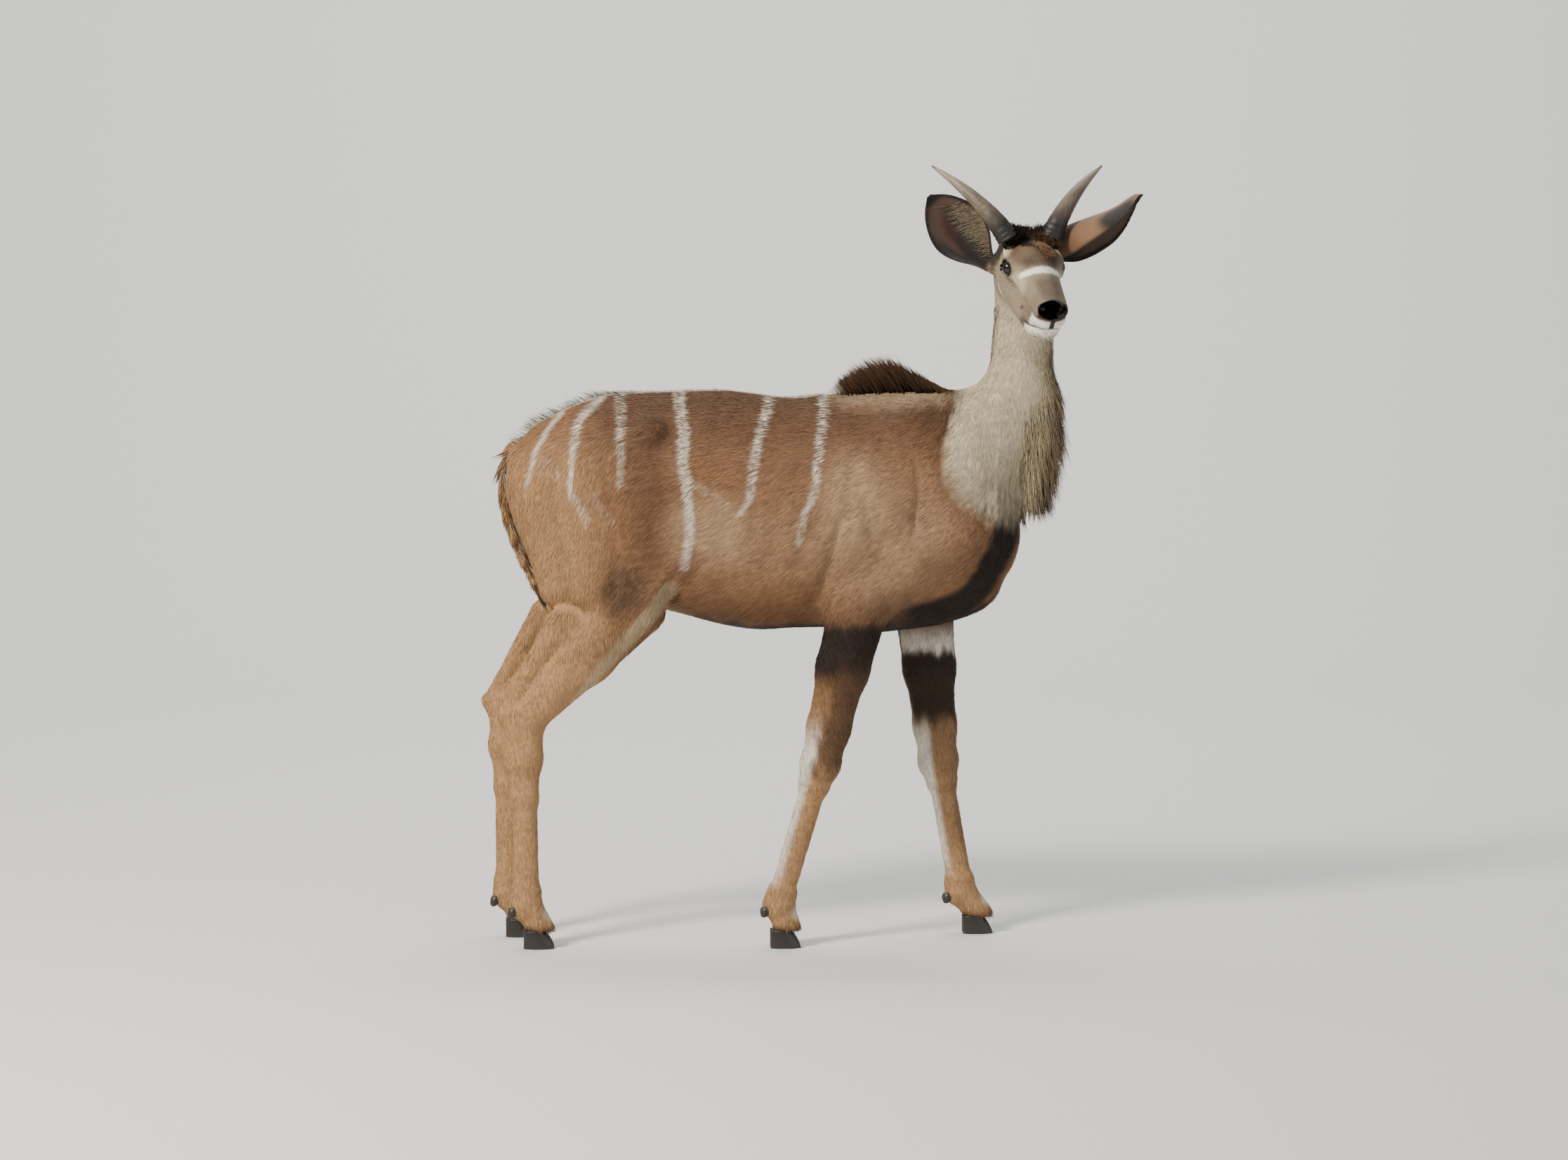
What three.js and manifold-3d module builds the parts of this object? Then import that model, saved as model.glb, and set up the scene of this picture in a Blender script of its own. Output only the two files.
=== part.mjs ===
// Greater kudu, a young bull, standing square with his head turned to his right.
// Millimetres, +Z up. He walks along +X, and +Y is his left. The floor is z = 0.
//
// The flesh is one rounded body, made of a trunk with a measured profile and of muscles
// that blend into it. Each node is that body read along a row of rings and parted from
// its neighbours by flat cuts. Ears, horns, eyes, hooves and hair are made on their own.

import * as THREE from 'three';
import { mergeVertices } from 'three/addons/utils/BufferGeometryUtils.js';
import Module from 'manifold-3d';

const wasm = await Module();
wasm.setup();

// Driving sizes
const GAP = 0.3;
const BELLY_Z = 690;
const FORE_CUT_Z = 664;
const HIND_CUT_Z = 698;
const CARPUS_CUT_Z = 372;
const HOCK_CUT_Z = 418;
const CORONET_Z = 40;
const CUT_MARGIN = 30;
const TORSO_CELL = 34;
const TORSO_LOW = [-608, -221, 597];
const TORSO_HIGH = [660, 220, 1290];
const HOOF_LENGTH = 68;
const HOOF_WIDTH = 26;
const HOOF_CLEFT = 4;
const EYE_RADIUS = 17;
const LID_THICKNESS = 2.6;
const EAR_THICKNESS = 4.5;
const TAIL_HALF_WIDTH = 21;
const TAIL_HALF_DEPTH = 12;

// Vectors as plain arrays
const add = (a, b) => [a[0] + b[0], a[1] + b[1], a[2] + b[2]];
const sub = (a, b) => [a[0] - b[0], a[1] - b[1], a[2] - b[2]];
const mul = (a, k) => [a[0] * k, a[1] * k, a[2] * k];
const dot = (a, b) => a[0] * b[0] + a[1] * b[1] + a[2] * b[2];
const cross = (a, b) => [
  a[1] * b[2] - a[2] * b[1],
  a[2] * b[0] - a[0] * b[2],
  a[0] * b[1] - a[1] * b[0],
];
const unit = (a) => mul(a, 1 / Math.hypot(...a));
const mix = (a, b, t) => a + (b - a) * t;
const mixV = (a, b, t) => [mix(a[0], b[0], t), mix(a[1], b[1], t), mix(a[2], b[2], t)];
const clamp = (x, lo, hi) => Math.min(hi, Math.max(lo, x));
const radians = (degrees) => (degrees * Math.PI) / 180;

// A small seeded generator, so that every lock falls the same way each time
function seeded(seed) {
  let state = seed;
  return () => {
    state = (state * 1664525 + 1013904223) % 4294967296;
    return state / 4294967296;
  };
}

// The smooth curve through a row of [place, value, value, ...] stations
function station(rows, x) {
  const last = rows.length - 1;
  if (x <= rows[0][0]) return rows[0].slice(1);
  if (x >= rows[last][0]) return rows[last].slice(1);
  const i = rows.findIndex((row) => row[0] > x) - 1;
  const before = rows[Math.max(i - 1, 0)];
  const after = rows[Math.min(i + 2, last)];
  const [a, b] = [rows[i], rows[i + 1]];
  const span = b[0] - a[0];
  const u = (x - a[0]) / span;
  return a.slice(1).map((value, j) => {
    const next = b[j + 1];
    const slopeA = ((next - before[j + 1]) / (b[0] - before[0])) * span;
    const slopeB = ((after[j + 1] - value) / (after[0] - a[0])) * span;
    return (
      value * (1 + 2 * u) * (1 - u) ** 2 +
      slopeA * u * (1 - u) ** 2 +
      next * u * u * (3 - 2 * u) +
      slopeB * u * u * (u - 1)
    );
  });
}

// The head's own frame: s forward from the nape, l to his left, t up from the face
const HEAD_YAW = radians(-77.4);
const HEAD_PITCH = radians(31);
const NOSE = [654, -245, 1389];
const HEAD_LENGTH = 310;
const HEAD_S = [
  Math.cos(HEAD_PITCH) * Math.cos(HEAD_YAW),
  Math.cos(HEAD_PITCH) * Math.sin(HEAD_YAW),
  -Math.sin(HEAD_PITCH),
];
const HEAD_L = [-Math.sin(HEAD_YAW), Math.cos(HEAD_YAW), 0];
const HEAD_T = cross(HEAD_S, HEAD_L);
const HEAD_ORIGIN = sub(NOSE, mul(HEAD_S, HEAD_LENGTH));
const headVector = (s, l, t) => add(add(mul(HEAD_S, s), mul(HEAD_L, l)), mul(HEAD_T, t));
const headPoint = (s, l, t) => add(HEAD_ORIGIN, headVector(s, l, t));

// Trunk stations: x, top, bottom, half width, level of the widest place
const TRUNK = [
  [-500, 1092, 900, 70, 1000],
  [-460, 1142, 850, 96, 1000],
  [-413, 1166, 800, 116, 1000],
  [-365, 1188, 770, 130, 995],
  [-316, 1205, 752, 138, 990],
  [-243, 1213, 745, 144, 985],
  [-145, 1217, 722, 152, 965],
  [-47, 1219, 697, 162, 945],
  [28, 1211, BELLY_Z - 3, 168, 930],
  [98, 1203, BELLY_Z, 168, 925],
  [169, 1209, BELLY_Z + 1, 162, 925],
  [253, 1213, BELLY_Z, 152, 925],
  [333, 1217, BELLY_Z + 1, 140, 920],
  [404, 1217, BELLY_Z + 6, 128, 920],
  [450, 1203, BELLY_Z + 16, 116, 925],
  [500, 1165, 730, 102, 930],
  [545, 1105, 775, 84, 935],
];

// Joints of each leg, from the top down
const LEGS = {
  foreleg_right: {
    side: -1,
    joints: [[445, -104, 905], [243, -104, 762], [160, -99, 405], [70, -95, 98]],
    toe: [118, -95, 0],
  },
  foreleg_left: {
    side: 1,
    joints: [[520, 104, 915], [395, 104, 745], [430, 99, 385], [481, 95, 98]],
    toe: [552, 95, 0],
  },
  hindleg_right: {
    side: -1,
    joints: [[-330, -95, 1010], [-232, -108, 765], [-487, -96, 497], [-481, -90, 98]],
    toe: [-420, -88, 0],
  },
  hindleg_left: {
    side: 1,
    joints: [[-345, 95, 1010], [-262, 108, 768], [-525, 90, 508], [-523, 85, 98]],
    toe: [-462, 83, 0],
  },
};

// A muscle runs from a to b with a radius at each end, flattened along one direction
function muscle(a, b, ra, rb, flat = 1, blend = 30, side = [0, 1, 0]) {
  const axis = sub(b, a);
  const length2 = dot(axis, axis);
  const squeeze = flat * flat - 1;
  const distance = (p) => {
    const q = sub(p, a);
    const u = clamp(dot(q, axis) / length2, 0, 1);
    const out = sub(q, mul(axis, u));
    const sideways = dot(out, side);
    return Math.sqrt(dot(out, out) + squeeze * sideways * sideways) - mix(ra, rb, u);
  };
  return { distance, blend };
}

// A bulge is an ellipsoid with its own axes
function bulge(centre, radii, blend = 30, axes = [[1, 0, 0], [0, 1, 0], [0, 0, 1]]) {
  const distance = (p) => {
    const q = sub(p, centre);
    let near = 0;
    let steep = 0;
    for (let i = 0; i < 3; i++) {
      const along = dot(q, axes[i]) / radii[i];
      near += along * along;
      steep += (along / radii[i]) ** 2;
    }
    near = Math.sqrt(near);
    return near * (near - 1) / Math.max(Math.sqrt(steep), 1e-9);
  };
  return { distance, blend };
}

const HEAD_AXES = [HEAD_S, HEAD_L, HEAD_T];
const headMuscle = (a, b, ra, rb, flat = 1, blend = 16) =>
  muscle(headPoint(...a), headPoint(...b), ra, rb, flat, blend, HEAD_L);
const headBulge = (centre, radii, blend = 14) =>
  bulge(headPoint(...centre), radii, blend, HEAD_AXES);

// The trunk: egg-shaped sections between the back line and the belly line
function trunk() {
  const first = TRUNK[0][0];
  const last = TRUNK[TRUNK.length - 1][0];
  const distance = ([x, y, z]) => {
    const inside = clamp(x, first, last);
    const [top, bottom, width, widest] = station(TRUNK, inside);
    const height = z > widest ? top - widest : widest - bottom;
    const power = z > widest ? 1.9 : 2.3;
    const up = Math.abs(z - widest) / height;
    const out = Math.abs(y) / width;
    const ratio = (up ** power + out ** power) ** (1 / power);
    const reach = Math.hypot(y, z - widest) / Math.max(ratio, 1e-6);
    const skin = (ratio - 1) * Math.min(reach, Math.min(height, width) * 1.2);
    const beyond = Math.abs(x - inside);
    return beyond > 0 ? Math.max(skin, 0) * 0.7 + beyond + Math.min(skin, 0) * 0.3 : skin;
  };
  return { distance, blend: 30 };
}

function foreleg({ side, joints: [shoulder, elbow, carpus, fetlock], toe }) {
  const along = (t) => mixV(elbow, carpus, t);
  const cannon = (t) => mixV(carpus, fetlock, t);
  const blade = [mix(345, shoulder[0], 0.1), side * 62, 1135];
  const coronet = [toe[0] - 30, toe[1], CORONET_Z];
  return [
    muscle(blade, add(shoulder, [0, -side * 14, 0]), 62, 70, 1.75, 45),
    muscle(add(shoulder, [0, -side * 12, 0]), add(elbow, [8, -side * 4, 12]), 66, 60, 1.35, 35),
    muscle(mixV(blade, elbow, 0.38), add(elbow, [-18, side * 2, 26]), 66, 40, 1.35, 35),
    muscle(add(elbow, [2, 0, -8]), along(0.42), 69, 60, 1.42, 34),
    muscle(along(0.42), along(0.78), 58, 48, 1.38, 20),
    muscle(along(0.78), along(1), 47, 44, 1.2, 20),
    muscle(along(1), cannon(0.13), 43, 36, 1.15, 16),
    muscle(cannon(0.16), cannon(0.8), 29.5, 28.5, 1.22, 18),
    muscle(cannon(0.93), add(fetlock, [-3, 0, -4]), 35, 35, 1.2, 16),
    muscle(add(fetlock, [4, 0, -6]), coronet, 31, 32, 1.12, 12),
  ];
}

function hindleg({ side, joints: [hip, stifle, hock, fetlock], toe }) {
  const along = (t) => mixV(stifle, hock, t);
  const cannon = (t) => mixV(hock, fetlock, t);
  const coronet = [toe[0] - 30, toe[1], CORONET_Z];
  const shift = (dx, dy, dz) => [hip[0] + dx, side * dy, hip[2] + dz];
  const heel = add(hock, [-38, 0, 16]);
  return [
    bulge(shift(0, 72, 40), [145, 82, 130], 40),
    muscle(shift(-90, 70, 0), add(stifle, [-78, side * -14, 40]), 92, 84, 1.35, 35),
    muscle(shift(70, 78, -5), add(stifle, [-2, side * -4, 22]), 74, 60, 1.35, 35),
    muscle(shift(-128, 56, 0), shift(-70, 70, -215), 60, 56, 1.25, 35),
    bulge(shift(-140, 42, 55), [48, 36, 44], 30),
    bulge(shift(118, 102, 122), [44, 30, 30], 30),
    muscle(add(stifle, [-14, 0, -12]), along(0.45), 76, 62, 1.45, 30),
    muscle(along(0.45), along(0.93), 62, 43, 1.4, 24),
    muscle(add(along(0.4), [-62, side * -4, 44]), heel, 50, 18, 1.7, 24),
    muscle(add(hock, [6, 0, 14]), cannon(0.2), 43, 42, 1.3, 18),
    muscle(heel, cannon(0.14), 17, 22, 1.1, 16),
    muscle(cannon(0.2), cannon(0.42), 40, 30, 1.3, 16),
    muscle(cannon(0.42), cannon(0.86), 29, 29, 1.2, 16),
    muscle(cannon(0.94), add(fetlock, [-2, 0, -4]), 35, 35, 1.2, 14),
    muscle(add(fetlock, [4, 0, -6]), coronet, 31, 32, 1.12, 12),
  ];
}

const neckMuscles = [
  muscle([470, 0, 1060], [596, -2, 1190], 128, 84, 1.32, 50),
  muscle([596, -2, 1190], [606, -3, 1320], 80, 63, 1.24, 30),
  muscle([606, -3, 1320], [599, 2, 1488], 63, 58, 1.15, 20),
  muscle([640, 0, 1110], [626, 0, 985], 46, 34, 1.3, 40),
  bulge([520, 0, 900], [84, 92, 120], 40),
  muscle([300, 0, 742], [498, 0, 782], 50, 50, 1, 40),
];

// Ears: root in the head's frame, the way to the tip, the way the mouth opens, breadth,
// how tightly the leaf curls, and how far it bows, most at the given part of the length
const EARS = {
  ear_right: {
    side: -1, root: [60, -70, -42], tip: [-134, 60, 155], open: [-0.05, -0.98, 0],
    breadth: 0.9, curl: 1, bow: 20, fullest: 1,
  },
  ear_left: {
    side: 1, root: [60, 58, -20], tip: [211, 24, 133], open: [0.53, -0.26, -0.8],
    breadth: 1.12, curl: 1.18, bow: 52, fullest: 1.4,
  },
};

const headMuscles = [
  headBulge([62, 0, -2], [66, 54, 46]),
  headBulge([128, 0, 14], [66, 57, 38]),
  headMuscle([130, 0, 2], [284, 0, -8], 45, 29, 1.14, 20),
  headBulge([288, 0, -8], [25, 38, 26], 10),
  headBulge([282, 0, -32], [27, 38, 22], 10),
  headBulge([266, 0, -60], [30, 31, 28], 10),
  headBulge([16, 0, -18], [42, 42, 34]),
  ...[-1, 1].flatMap((side) => [
    headBulge([132, side * 48, 4], [32, 24, 26], 10),
    headMuscle([150, side * 24, -6], [262, side * 15, -10], 27, 26, 1, 14),
    headMuscle([92, side * 30, -62], [250, side * 20, -66], 35, 25, 1.15, 14),
    headBulge([98, side * 34, -34], [54, 28, 52], 16),
    headMuscle([66, side * 26, 18], [66, side * 46, 42], 27, 21, 1, 12),
  ]),
  ...Object.values(EARS).map(({ side, root }) =>
    headMuscle([60, side * 34, -16], add(root, [0, -side * 6, 4]), 28, 20, 1, 14)),
];

// The tail hangs in a shallow cleft between the buttocks
const TAIL_PATH = [
  [-486, 0, 1096], [-514, 0, 1080], [-529, 0, 1045], [-530, 0, 990], [-522, 0, 940],
  [-506, 0, 890], [-484, 0, 840], [-462, 0, 795], [-440, 0, 752],
];
const tailCleft = TAIL_PATH.slice(2, -1).map((point, i) =>
  muscle(point, TAIL_PATH[i + 3], 23, 23, 0.8, 24));

// The whole flesh, as one list of blended parts
const parts = [
  trunk(),
  ...neckMuscles,
  ...Object.entries(LEGS).flatMap(([name, leg]) =>
    name.startsWith('fore') ? foreleg(leg) : hindleg(leg)),
  ...headMuscles,
];

function flesh(p) {
  let body = 1e6;
  for (const { distance, blend } of parts) {
    const near = distance(p);
    const overlap = Math.max(blend - Math.abs(body - near), 0);
    body = Math.min(body, near) - (overlap * overlap) / (4 * blend);
  }
  if (p[0] > TAIL_PATH[TAIL_PATH.length - 1][0] + 60) return body;
  for (const { distance, blend } of tailCleft) {
    const hollow = -distance(p);
    const overlap = Math.max(blend - Math.abs(body - hollow), 0);
    body = Math.max(body, hollow) + (overlap * overlap) / (4 * blend);
  }
  return body;
}

// Cutting planes, each as a point and the direction that its upper node lies in
const NECK_CUT = { point: [528, 0, 1078], normal: unit([0.894, 0, 0.448]) };
const HEAD_CUT = { point: [600, -5, 1418], normal: unit([0.08, -0.7, 0.71]) };
const level = (z) => ({ point: [0, 0, z], normal: [0, 0, 1] });
const above = ({ point, normal }) => ({ point, normal });
const below = ({ point, normal }) => ({ point, normal: mul(normal, -1) });

// Closed meshes to and from the solid library
function toSolid(geometry) {
  const bare = geometry.clone();
  bare.deleteAttribute('normal');
  bare.deleteAttribute('uv');
  const merged = mergeVertices(bare, 1e-4);
  return new wasm.Manifold(new wasm.Mesh({
    numProp: 3,
    vertProperties: new Float32Array(merged.attributes.position.array),
    triVerts: new Uint32Array(merged.index.array),
  }));
}

// A closed mesh whose faces are turned to point outwards
function turnedOut(geometry) {
  const { array } = geometry.index;
  const position = geometry.attributes.position;
  const corner = (i) => [position.getX(i), position.getY(i), position.getZ(i)];
  let volume = 0;
  for (let i = 0; i < array.length; i += 3)
    volume += dot(corner(array[i]), cross(corner(array[i + 1]), corner(array[i + 2])));
  if (volume < 0)
    for (let i = 0; i < array.length; i += 3) [array[i], array[i + 1]] = [array[i + 1], array[i]];
  return toSolid(geometry);
}

function toGeometry(solid) {
  const { vertProperties, triVerts } = solid.getMesh();
  const geometry = new THREE.BufferGeometry();
  geometry.setAttribute('position', new THREE.BufferAttribute(vertProperties, 3));
  geometry.setIndex(new THREE.BufferAttribute(triVerts, 1));
  return geometry;
}

// The largest closed surface of a solid
function largest(solid) {
  const bodies = solid.decompose();
  const volume = (body) => Math.abs(body.volume());
  return bodies.reduce((best, body) => (volume(body) > volume(best) ? body : best));
}

// A slab that fills everything on the far side of a plane, GAP / 2 short of it
function slabBehind({ point, normal }) {
  const size = 6000;
  const box = new THREE.BoxGeometry(size, size, size);
  const turn = new THREE.Quaternion().setFromUnitVectors(
    new THREE.Vector3(0, 0, 1), new THREE.Vector3(...normal));
  box.applyQuaternion(turn);
  const centre = sub(point, mul(normal, size / 2 - GAP / 2));
  box.translate(...centre);
  return toSolid(box);
}

function trim(solid, planes) {
  return planes.reduce((rest, plane) => rest.subtract(slabBehind(plane)), solid);
}

// The flesh as far as its cuts, and a margin past them
const clipped = (planes, margin) => (p) => planes.reduce(
  (value, { point, normal }) => Math.max(value, -dot(sub(p, point), normal) - margin),
  flesh(p));

// The place where a line from inside comes out of the flesh
function surface(from, way, inside = flesh) {
  const stride = 6;
  let near = 0;
  while (near < 600 && inside(add(from, mul(way, near + stride))) < 0) near += stride;
  let far = near + stride;
  for (let i = 0; i < 14; i++) {
    const half = (near + far) / 2;
    if (inside(add(from, mul(way, half))) < 0) near = half;
    else far = half;
  }
  return add(from, mul(way, near));
}

// A closed skin over a field, with one point in each cell that the surface crosses
function net(inside, low, high, cell) {
  const size = low.map((value, i) => Math.ceil((high[i] - value) / cell) + 1);
  const at = (i, j, k) => low.map((value, axis) => value + [i, j, k][axis] * cell);
  const index = (i, j, k) => (i * size[1] + j) * size[2] + k;
  const values = new Float64Array(size[0] * size[1] * size[2]);
  for (let i = 0; i < size[0]; i++)
    for (let j = 0; j < size[1]; j++)
      for (let k = 0; k < size[2]; k++) values[index(i, j, k)] = inside(at(i, j, k));
  const corners = [0, 1, 2, 3, 4, 5, 6, 7].map((c) => [c & 1, (c >> 1) & 1, (c >> 2) & 1]);
  const edges = corners.flatMap((a, m) => corners.slice(m + 1)
    .filter((b) => Math.abs(a[0] - b[0]) + Math.abs(a[1] - b[1]) + Math.abs(a[2] - b[2]) === 1)
    .map((b) => [a, b]));
  const owner = new Map();
  const points = [];
  for (let i = 0; i + 1 < size[0]; i++)
    for (let j = 0; j + 1 < size[1]; j++)
      for (let k = 0; k + 1 < size[2]; k++) {
        const crossings = [];
        for (const [a, b] of edges) {
          const va = values[index(i + a[0], j + a[1], k + a[2])];
          const vb = values[index(i + b[0], j + b[1], k + b[2])];
          if (va < 0 === vb < 0) continue;
          const pa = at(i + a[0], j + a[1], k + a[2]);
          crossings.push(mixV(pa, at(i + b[0], j + b[1], k + b[2]), va / (va - vb)));
        }
        if (crossings.length === 0) continue;
        owner.set(index(i, j, k), points.length);
        points.push(mul(crossings.reduce(add), 1 / crossings.length));
      }
  const faces = [];
  const quad = (a, b, c, d, flip) => {
    if (flip) faces.push(a, c, b, a, d, c);
    else faces.push(a, b, c, a, c, d);
  };
  for (let i = 1; i + 1 < size[0]; i++)
    for (let j = 1; j + 1 < size[1]; j++)
      for (let k = 1; k + 1 < size[2]; k++) {
        const here = values[index(i, j, k)] < 0;
        const cellAt = (a, b, c) => owner.get(index(i - a, j - b, k - c));
        if (here !== values[index(i + 1, j, k)] < 0)
          quad(cellAt(0, 1, 1), cellAt(0, 0, 1), cellAt(0, 0, 0), cellAt(0, 1, 0), !here);
        if (here !== values[index(i, j + 1, k)] < 0)
          quad(cellAt(1, 0, 1), cellAt(0, 0, 1), cellAt(0, 0, 0), cellAt(1, 0, 0), here);
        if (here !== values[index(i, j, k + 1)] < 0)
          quad(cellAt(1, 1, 0), cellAt(0, 1, 0), cellAt(0, 0, 0), cellAt(1, 0, 0), !here);
      }
  const settled = points.map((point) => settle(point, inside));
  const geometry = new THREE.BufferGeometry();
  geometry.setAttribute('position', new THREE.Float32BufferAttribute(settled.flat(), 3));
  geometry.setIndex(faces);
  return geometry;
}

// The slope of a field, and a point drawn onto its surface
function slope(p, inside) {
  const step = 1.5;
  return [0, 1, 2].map((axis) => {
    const offset = [0, 0, 0];
    offset[axis] = step;
    return (inside(add(p, offset)) - inside(sub(p, offset))) / (2 * step);
  });
}

function settle(point, inside) {
  let p = point;
  for (let i = 0; i < 3; i++) {
    const rise = slope(p, inside);
    const pull = clamp(inside(p) / Math.max(dot(rise, rise), 0.2), -6, 6);
    p = sub(p, mul(rise, pull));
  }
  return p;
}

// Rings of directions round a path, read out to the flesh. Each end closes in a dome.
function skinAlong(path, across, angles, domes, planes, margin) {
  const inside = clipped(planes, margin);
  const reach = (from, way) => surface(from, way, inside);
  const frames = path.map((centre, i) => {
    const along = unit(sub(path[Math.min(i + 1, path.length - 1)], path[Math.max(i - 1, 0)]));
    const u = unit(cross(across, along));
    return { centre, along, u, v: cross(along, u) };
  });
  const rings = [];
  const ring = ({ centre, along, u, v }, tilt) => {
    const slant = radians(tilt);
    return angles.map((angle) => {
      const flatWay = add(mul(u, Math.cos(angle)), mul(v, Math.sin(angle)));
      return reach(centre, add(mul(flatWay, Math.cos(slant)), mul(along, Math.sin(slant))));
    });
  };
  const [first, last] = [frames[0], frames[frames.length - 1]];
  for (const tilt of [...domes[0]].reverse()) rings.push(ring(first, -tilt));
  for (const frame of frames) rings.push(ring(frame, 0));
  for (const tilt of domes[1]) rings.push(ring(last, tilt));
  const poles = [
    reach(first.centre, mul(first.along, -1)),
    reach(last.centre, last.along),
  ];
  return loft(rings, poles);
}

// A closed skin over a row of rings, with one point at each end
function loft(rings, [start, end]) {
  const count = rings[0].length;
  const points = [...rings.flat(), start, end];
  const startIndex = points.length - 2;
  const endIndex = points.length - 1;
  const faces = [];
  for (let j = 0; j < count; j++) {
    const k = (j + 1) % count;
    faces.push(startIndex, k, j);
    for (let i = 0; i + 1 < rings.length; i++) {
      const [a, b, c, d] = [i * count + j, i * count + k, (i + 1) * count + k, (i + 1) * count + j];
      faces.push(a, b, c, a, c, d);
    }
    faces.push(endIndex, (rings.length - 1) * count + j, (rings.length - 1) * count + k);
  }
  const geometry = new THREE.BufferGeometry();
  geometry.setAttribute('position', new THREE.Float32BufferAttribute(points.flat(), 3));
  geometry.setIndex(faces);
  return geometry;
}

const evenAngles = (count) => Array.from({ length: count }, (_, i) => (i / count) * 2 * Math.PI);

// Points at even steps along a row of corners
function steps(corners, spacing) {
  const points = [];
  for (let i = 0; i + 1 < corners.length; i++) {
    const [a, b] = [corners[i], corners[i + 1]];
    const count = Math.max(1, Math.round(Math.hypot(...sub(b, a)) / spacing));
    for (let j = 0; j < count; j++) points.push(mixV(a, b, j / count));
  }
  points.push(corners[corners.length - 1]);
  return points;
}

// Materials
const matte = (colour, roughness = 0.9) =>
  new THREE.MeshStandardMaterial({ color: colour, roughness, metalness: 0 });
const MATERIALS = {
  coat: matte(0x8a6544),
  legCoat: matte(0x9d7650),
  face: matte(0x7d6650),
  mane: matte(0x5d4028),
  horn: matte(0x4f463b, 0.6),
  hoof: matte(0x2a2522, 0.5),
  ear: matte(0x6e5543),
  eye: matte(0x1c110c, 0.1),
};

const group = new THREE.Group();
function place(name, solid, material) {
  const mesh = new THREE.Mesh(toGeometry(largest(solid)), material);
  mesh.name = name;
  group.add(mesh);
}

const across = [0, 1, 0];
const centreOf = (points) => mul(points.reduce(add), 1 / points.length);

// A lock of hair: flat, tapered, and bent along its lie. It starts inside the skin.
const LOCK_STEPS = 3;
function lock({ root, way, bend, side, length, width, thick, sink }, grow = 0) {
  const start = sub(root, mul(way, sink + grow));
  const whole = length + sink + 3 * grow;
  const flatWay = unit(sub(side, mul(way, dot(side, way))));
  const point = (u) => add(add(start, mul(way, whole * u)), mul(bend, length * u * u));
  const rings = [];
  for (let i = 0; i < LOCK_STEPS; i++) {
    const u = i / LOCK_STEPS;
    const along = unit(sub(point(u + 0.05), point(u)));
    const deep = unit(cross(along, flatWay));
    const half = (width / 2) * (1 - u ** 1.8) * (0.75 + 0.5 * Math.sin(Math.PI * Math.min(u * 1.3, 1)));
    const wide = mul(flatWay, half + 2 * grow);
    const high = mul(deep, (thick / 2) * (1 - 0.6 * u) + 2 * grow);
    const c = point(u);
    rings.push([add(c, wide), add(c, high), sub(c, wide), sub(c, high)]);
  }
  const capCentre = centreOf(rings[0]);
  return turnedOut(loft(rings, [capCentre, point(1)]));
}

const fuse = (core, pieces) => largest(pieces.reduce((whole, piece) => whole.add(piece), core));

// The tail: a flat, tapering dock and switch, hanging in its cleft
function tailPoint(u) {
  const x = u * (TAIL_PATH.length - 1);
  const i = Math.min(Math.floor(x), TAIL_PATH.length - 2);
  return mixV(TAIL_PATH[i], TAIL_PATH[i + 1], x - i);
}

function tail(grow = 0) {
  const count = 12;
  const sides = 8;
  const rings = [];
  for (let i = 0; i <= count; i++) {
    const u = i / count;
    const along = unit(sub(tailPoint(Math.min(u + 0.04, 1)), tailPoint(Math.max(u - 0.04, 0))));
    const deep = cross(along, across);
    const swell = 0.72 + 0.5 * Math.sin(Math.PI * u ** 1.3) - 0.5 * u ** 6;
    rings.push(evenAngles(sides).map((angle) => add(tailPoint(u), add(
      mul(across, Math.cos(angle) * (TAIL_HALF_WIDTH * swell + grow)),
      mul(deep, -Math.sin(angle) * (TAIL_HALF_DEPTH * swell + grow))))));
  }
  const ends = [add(tailPoint(0), [grow, 0, 0]), add(tailPoint(1), [4, 0, -10 - grow])];
  const core = turnedOut(loft(rings, ends));
  const random = seeded(11);
  const locks = [];
  for (let i = 0; i < 10; i++) {
    const u = 0.42 + 0.55 * (i / 9);
    const face = (i % 3) - 1;
    const along = unit(sub(tailPoint(Math.min(u + 0.05, 1)), tailPoint(u - 0.05)));
    const out = unit([-0.8, face * 0.9, -0.4]);
    locks.push(lock({
      root: add(tailPoint(u), [out[0] * 7, face * 11, 0]),
      way: unit(add(along, mul(out, 0.16 + 0.1 * random()))),
      bend: [0.06, face * -0.05, -0.08],
      side: cross(along, out),
      length: 50 + 14 * random(),
      width: 17,
      thick: 6,
      sink: 9,
    }, grow));
  }
  return fuse(core, locks);
}

// The crest on the withers: locks in rows along the midline, leaning back
function crestLocks() {
  const random = seeded(5);
  const locks = [];
  const heights = [[190, 12], [240, 48], [300, 80], [360, 94], [404, 58], [436, 12]];
  for (let i = 0; i < 16; i++) {
    const x = 198 + (i / 15) * 232;
    const y = ((i % 3) - 1) * 9;
    const [height] = station(heights, x);
    locks.push(lock({
      root: surface([x, y, 1120], [0, 0, 1]),
      way: unit([-0.42 - 0.1 * random(), y * 0.012, 1]),
      bend: [-0.12, 0, -0.08],
      side: [1, 0, 0.1],
      length: height * (0.9 + 0.15 * random()),
      width: 40,
      thick: 10,
      sink: 12,
    }));
  }
  return locks;
}

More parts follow.
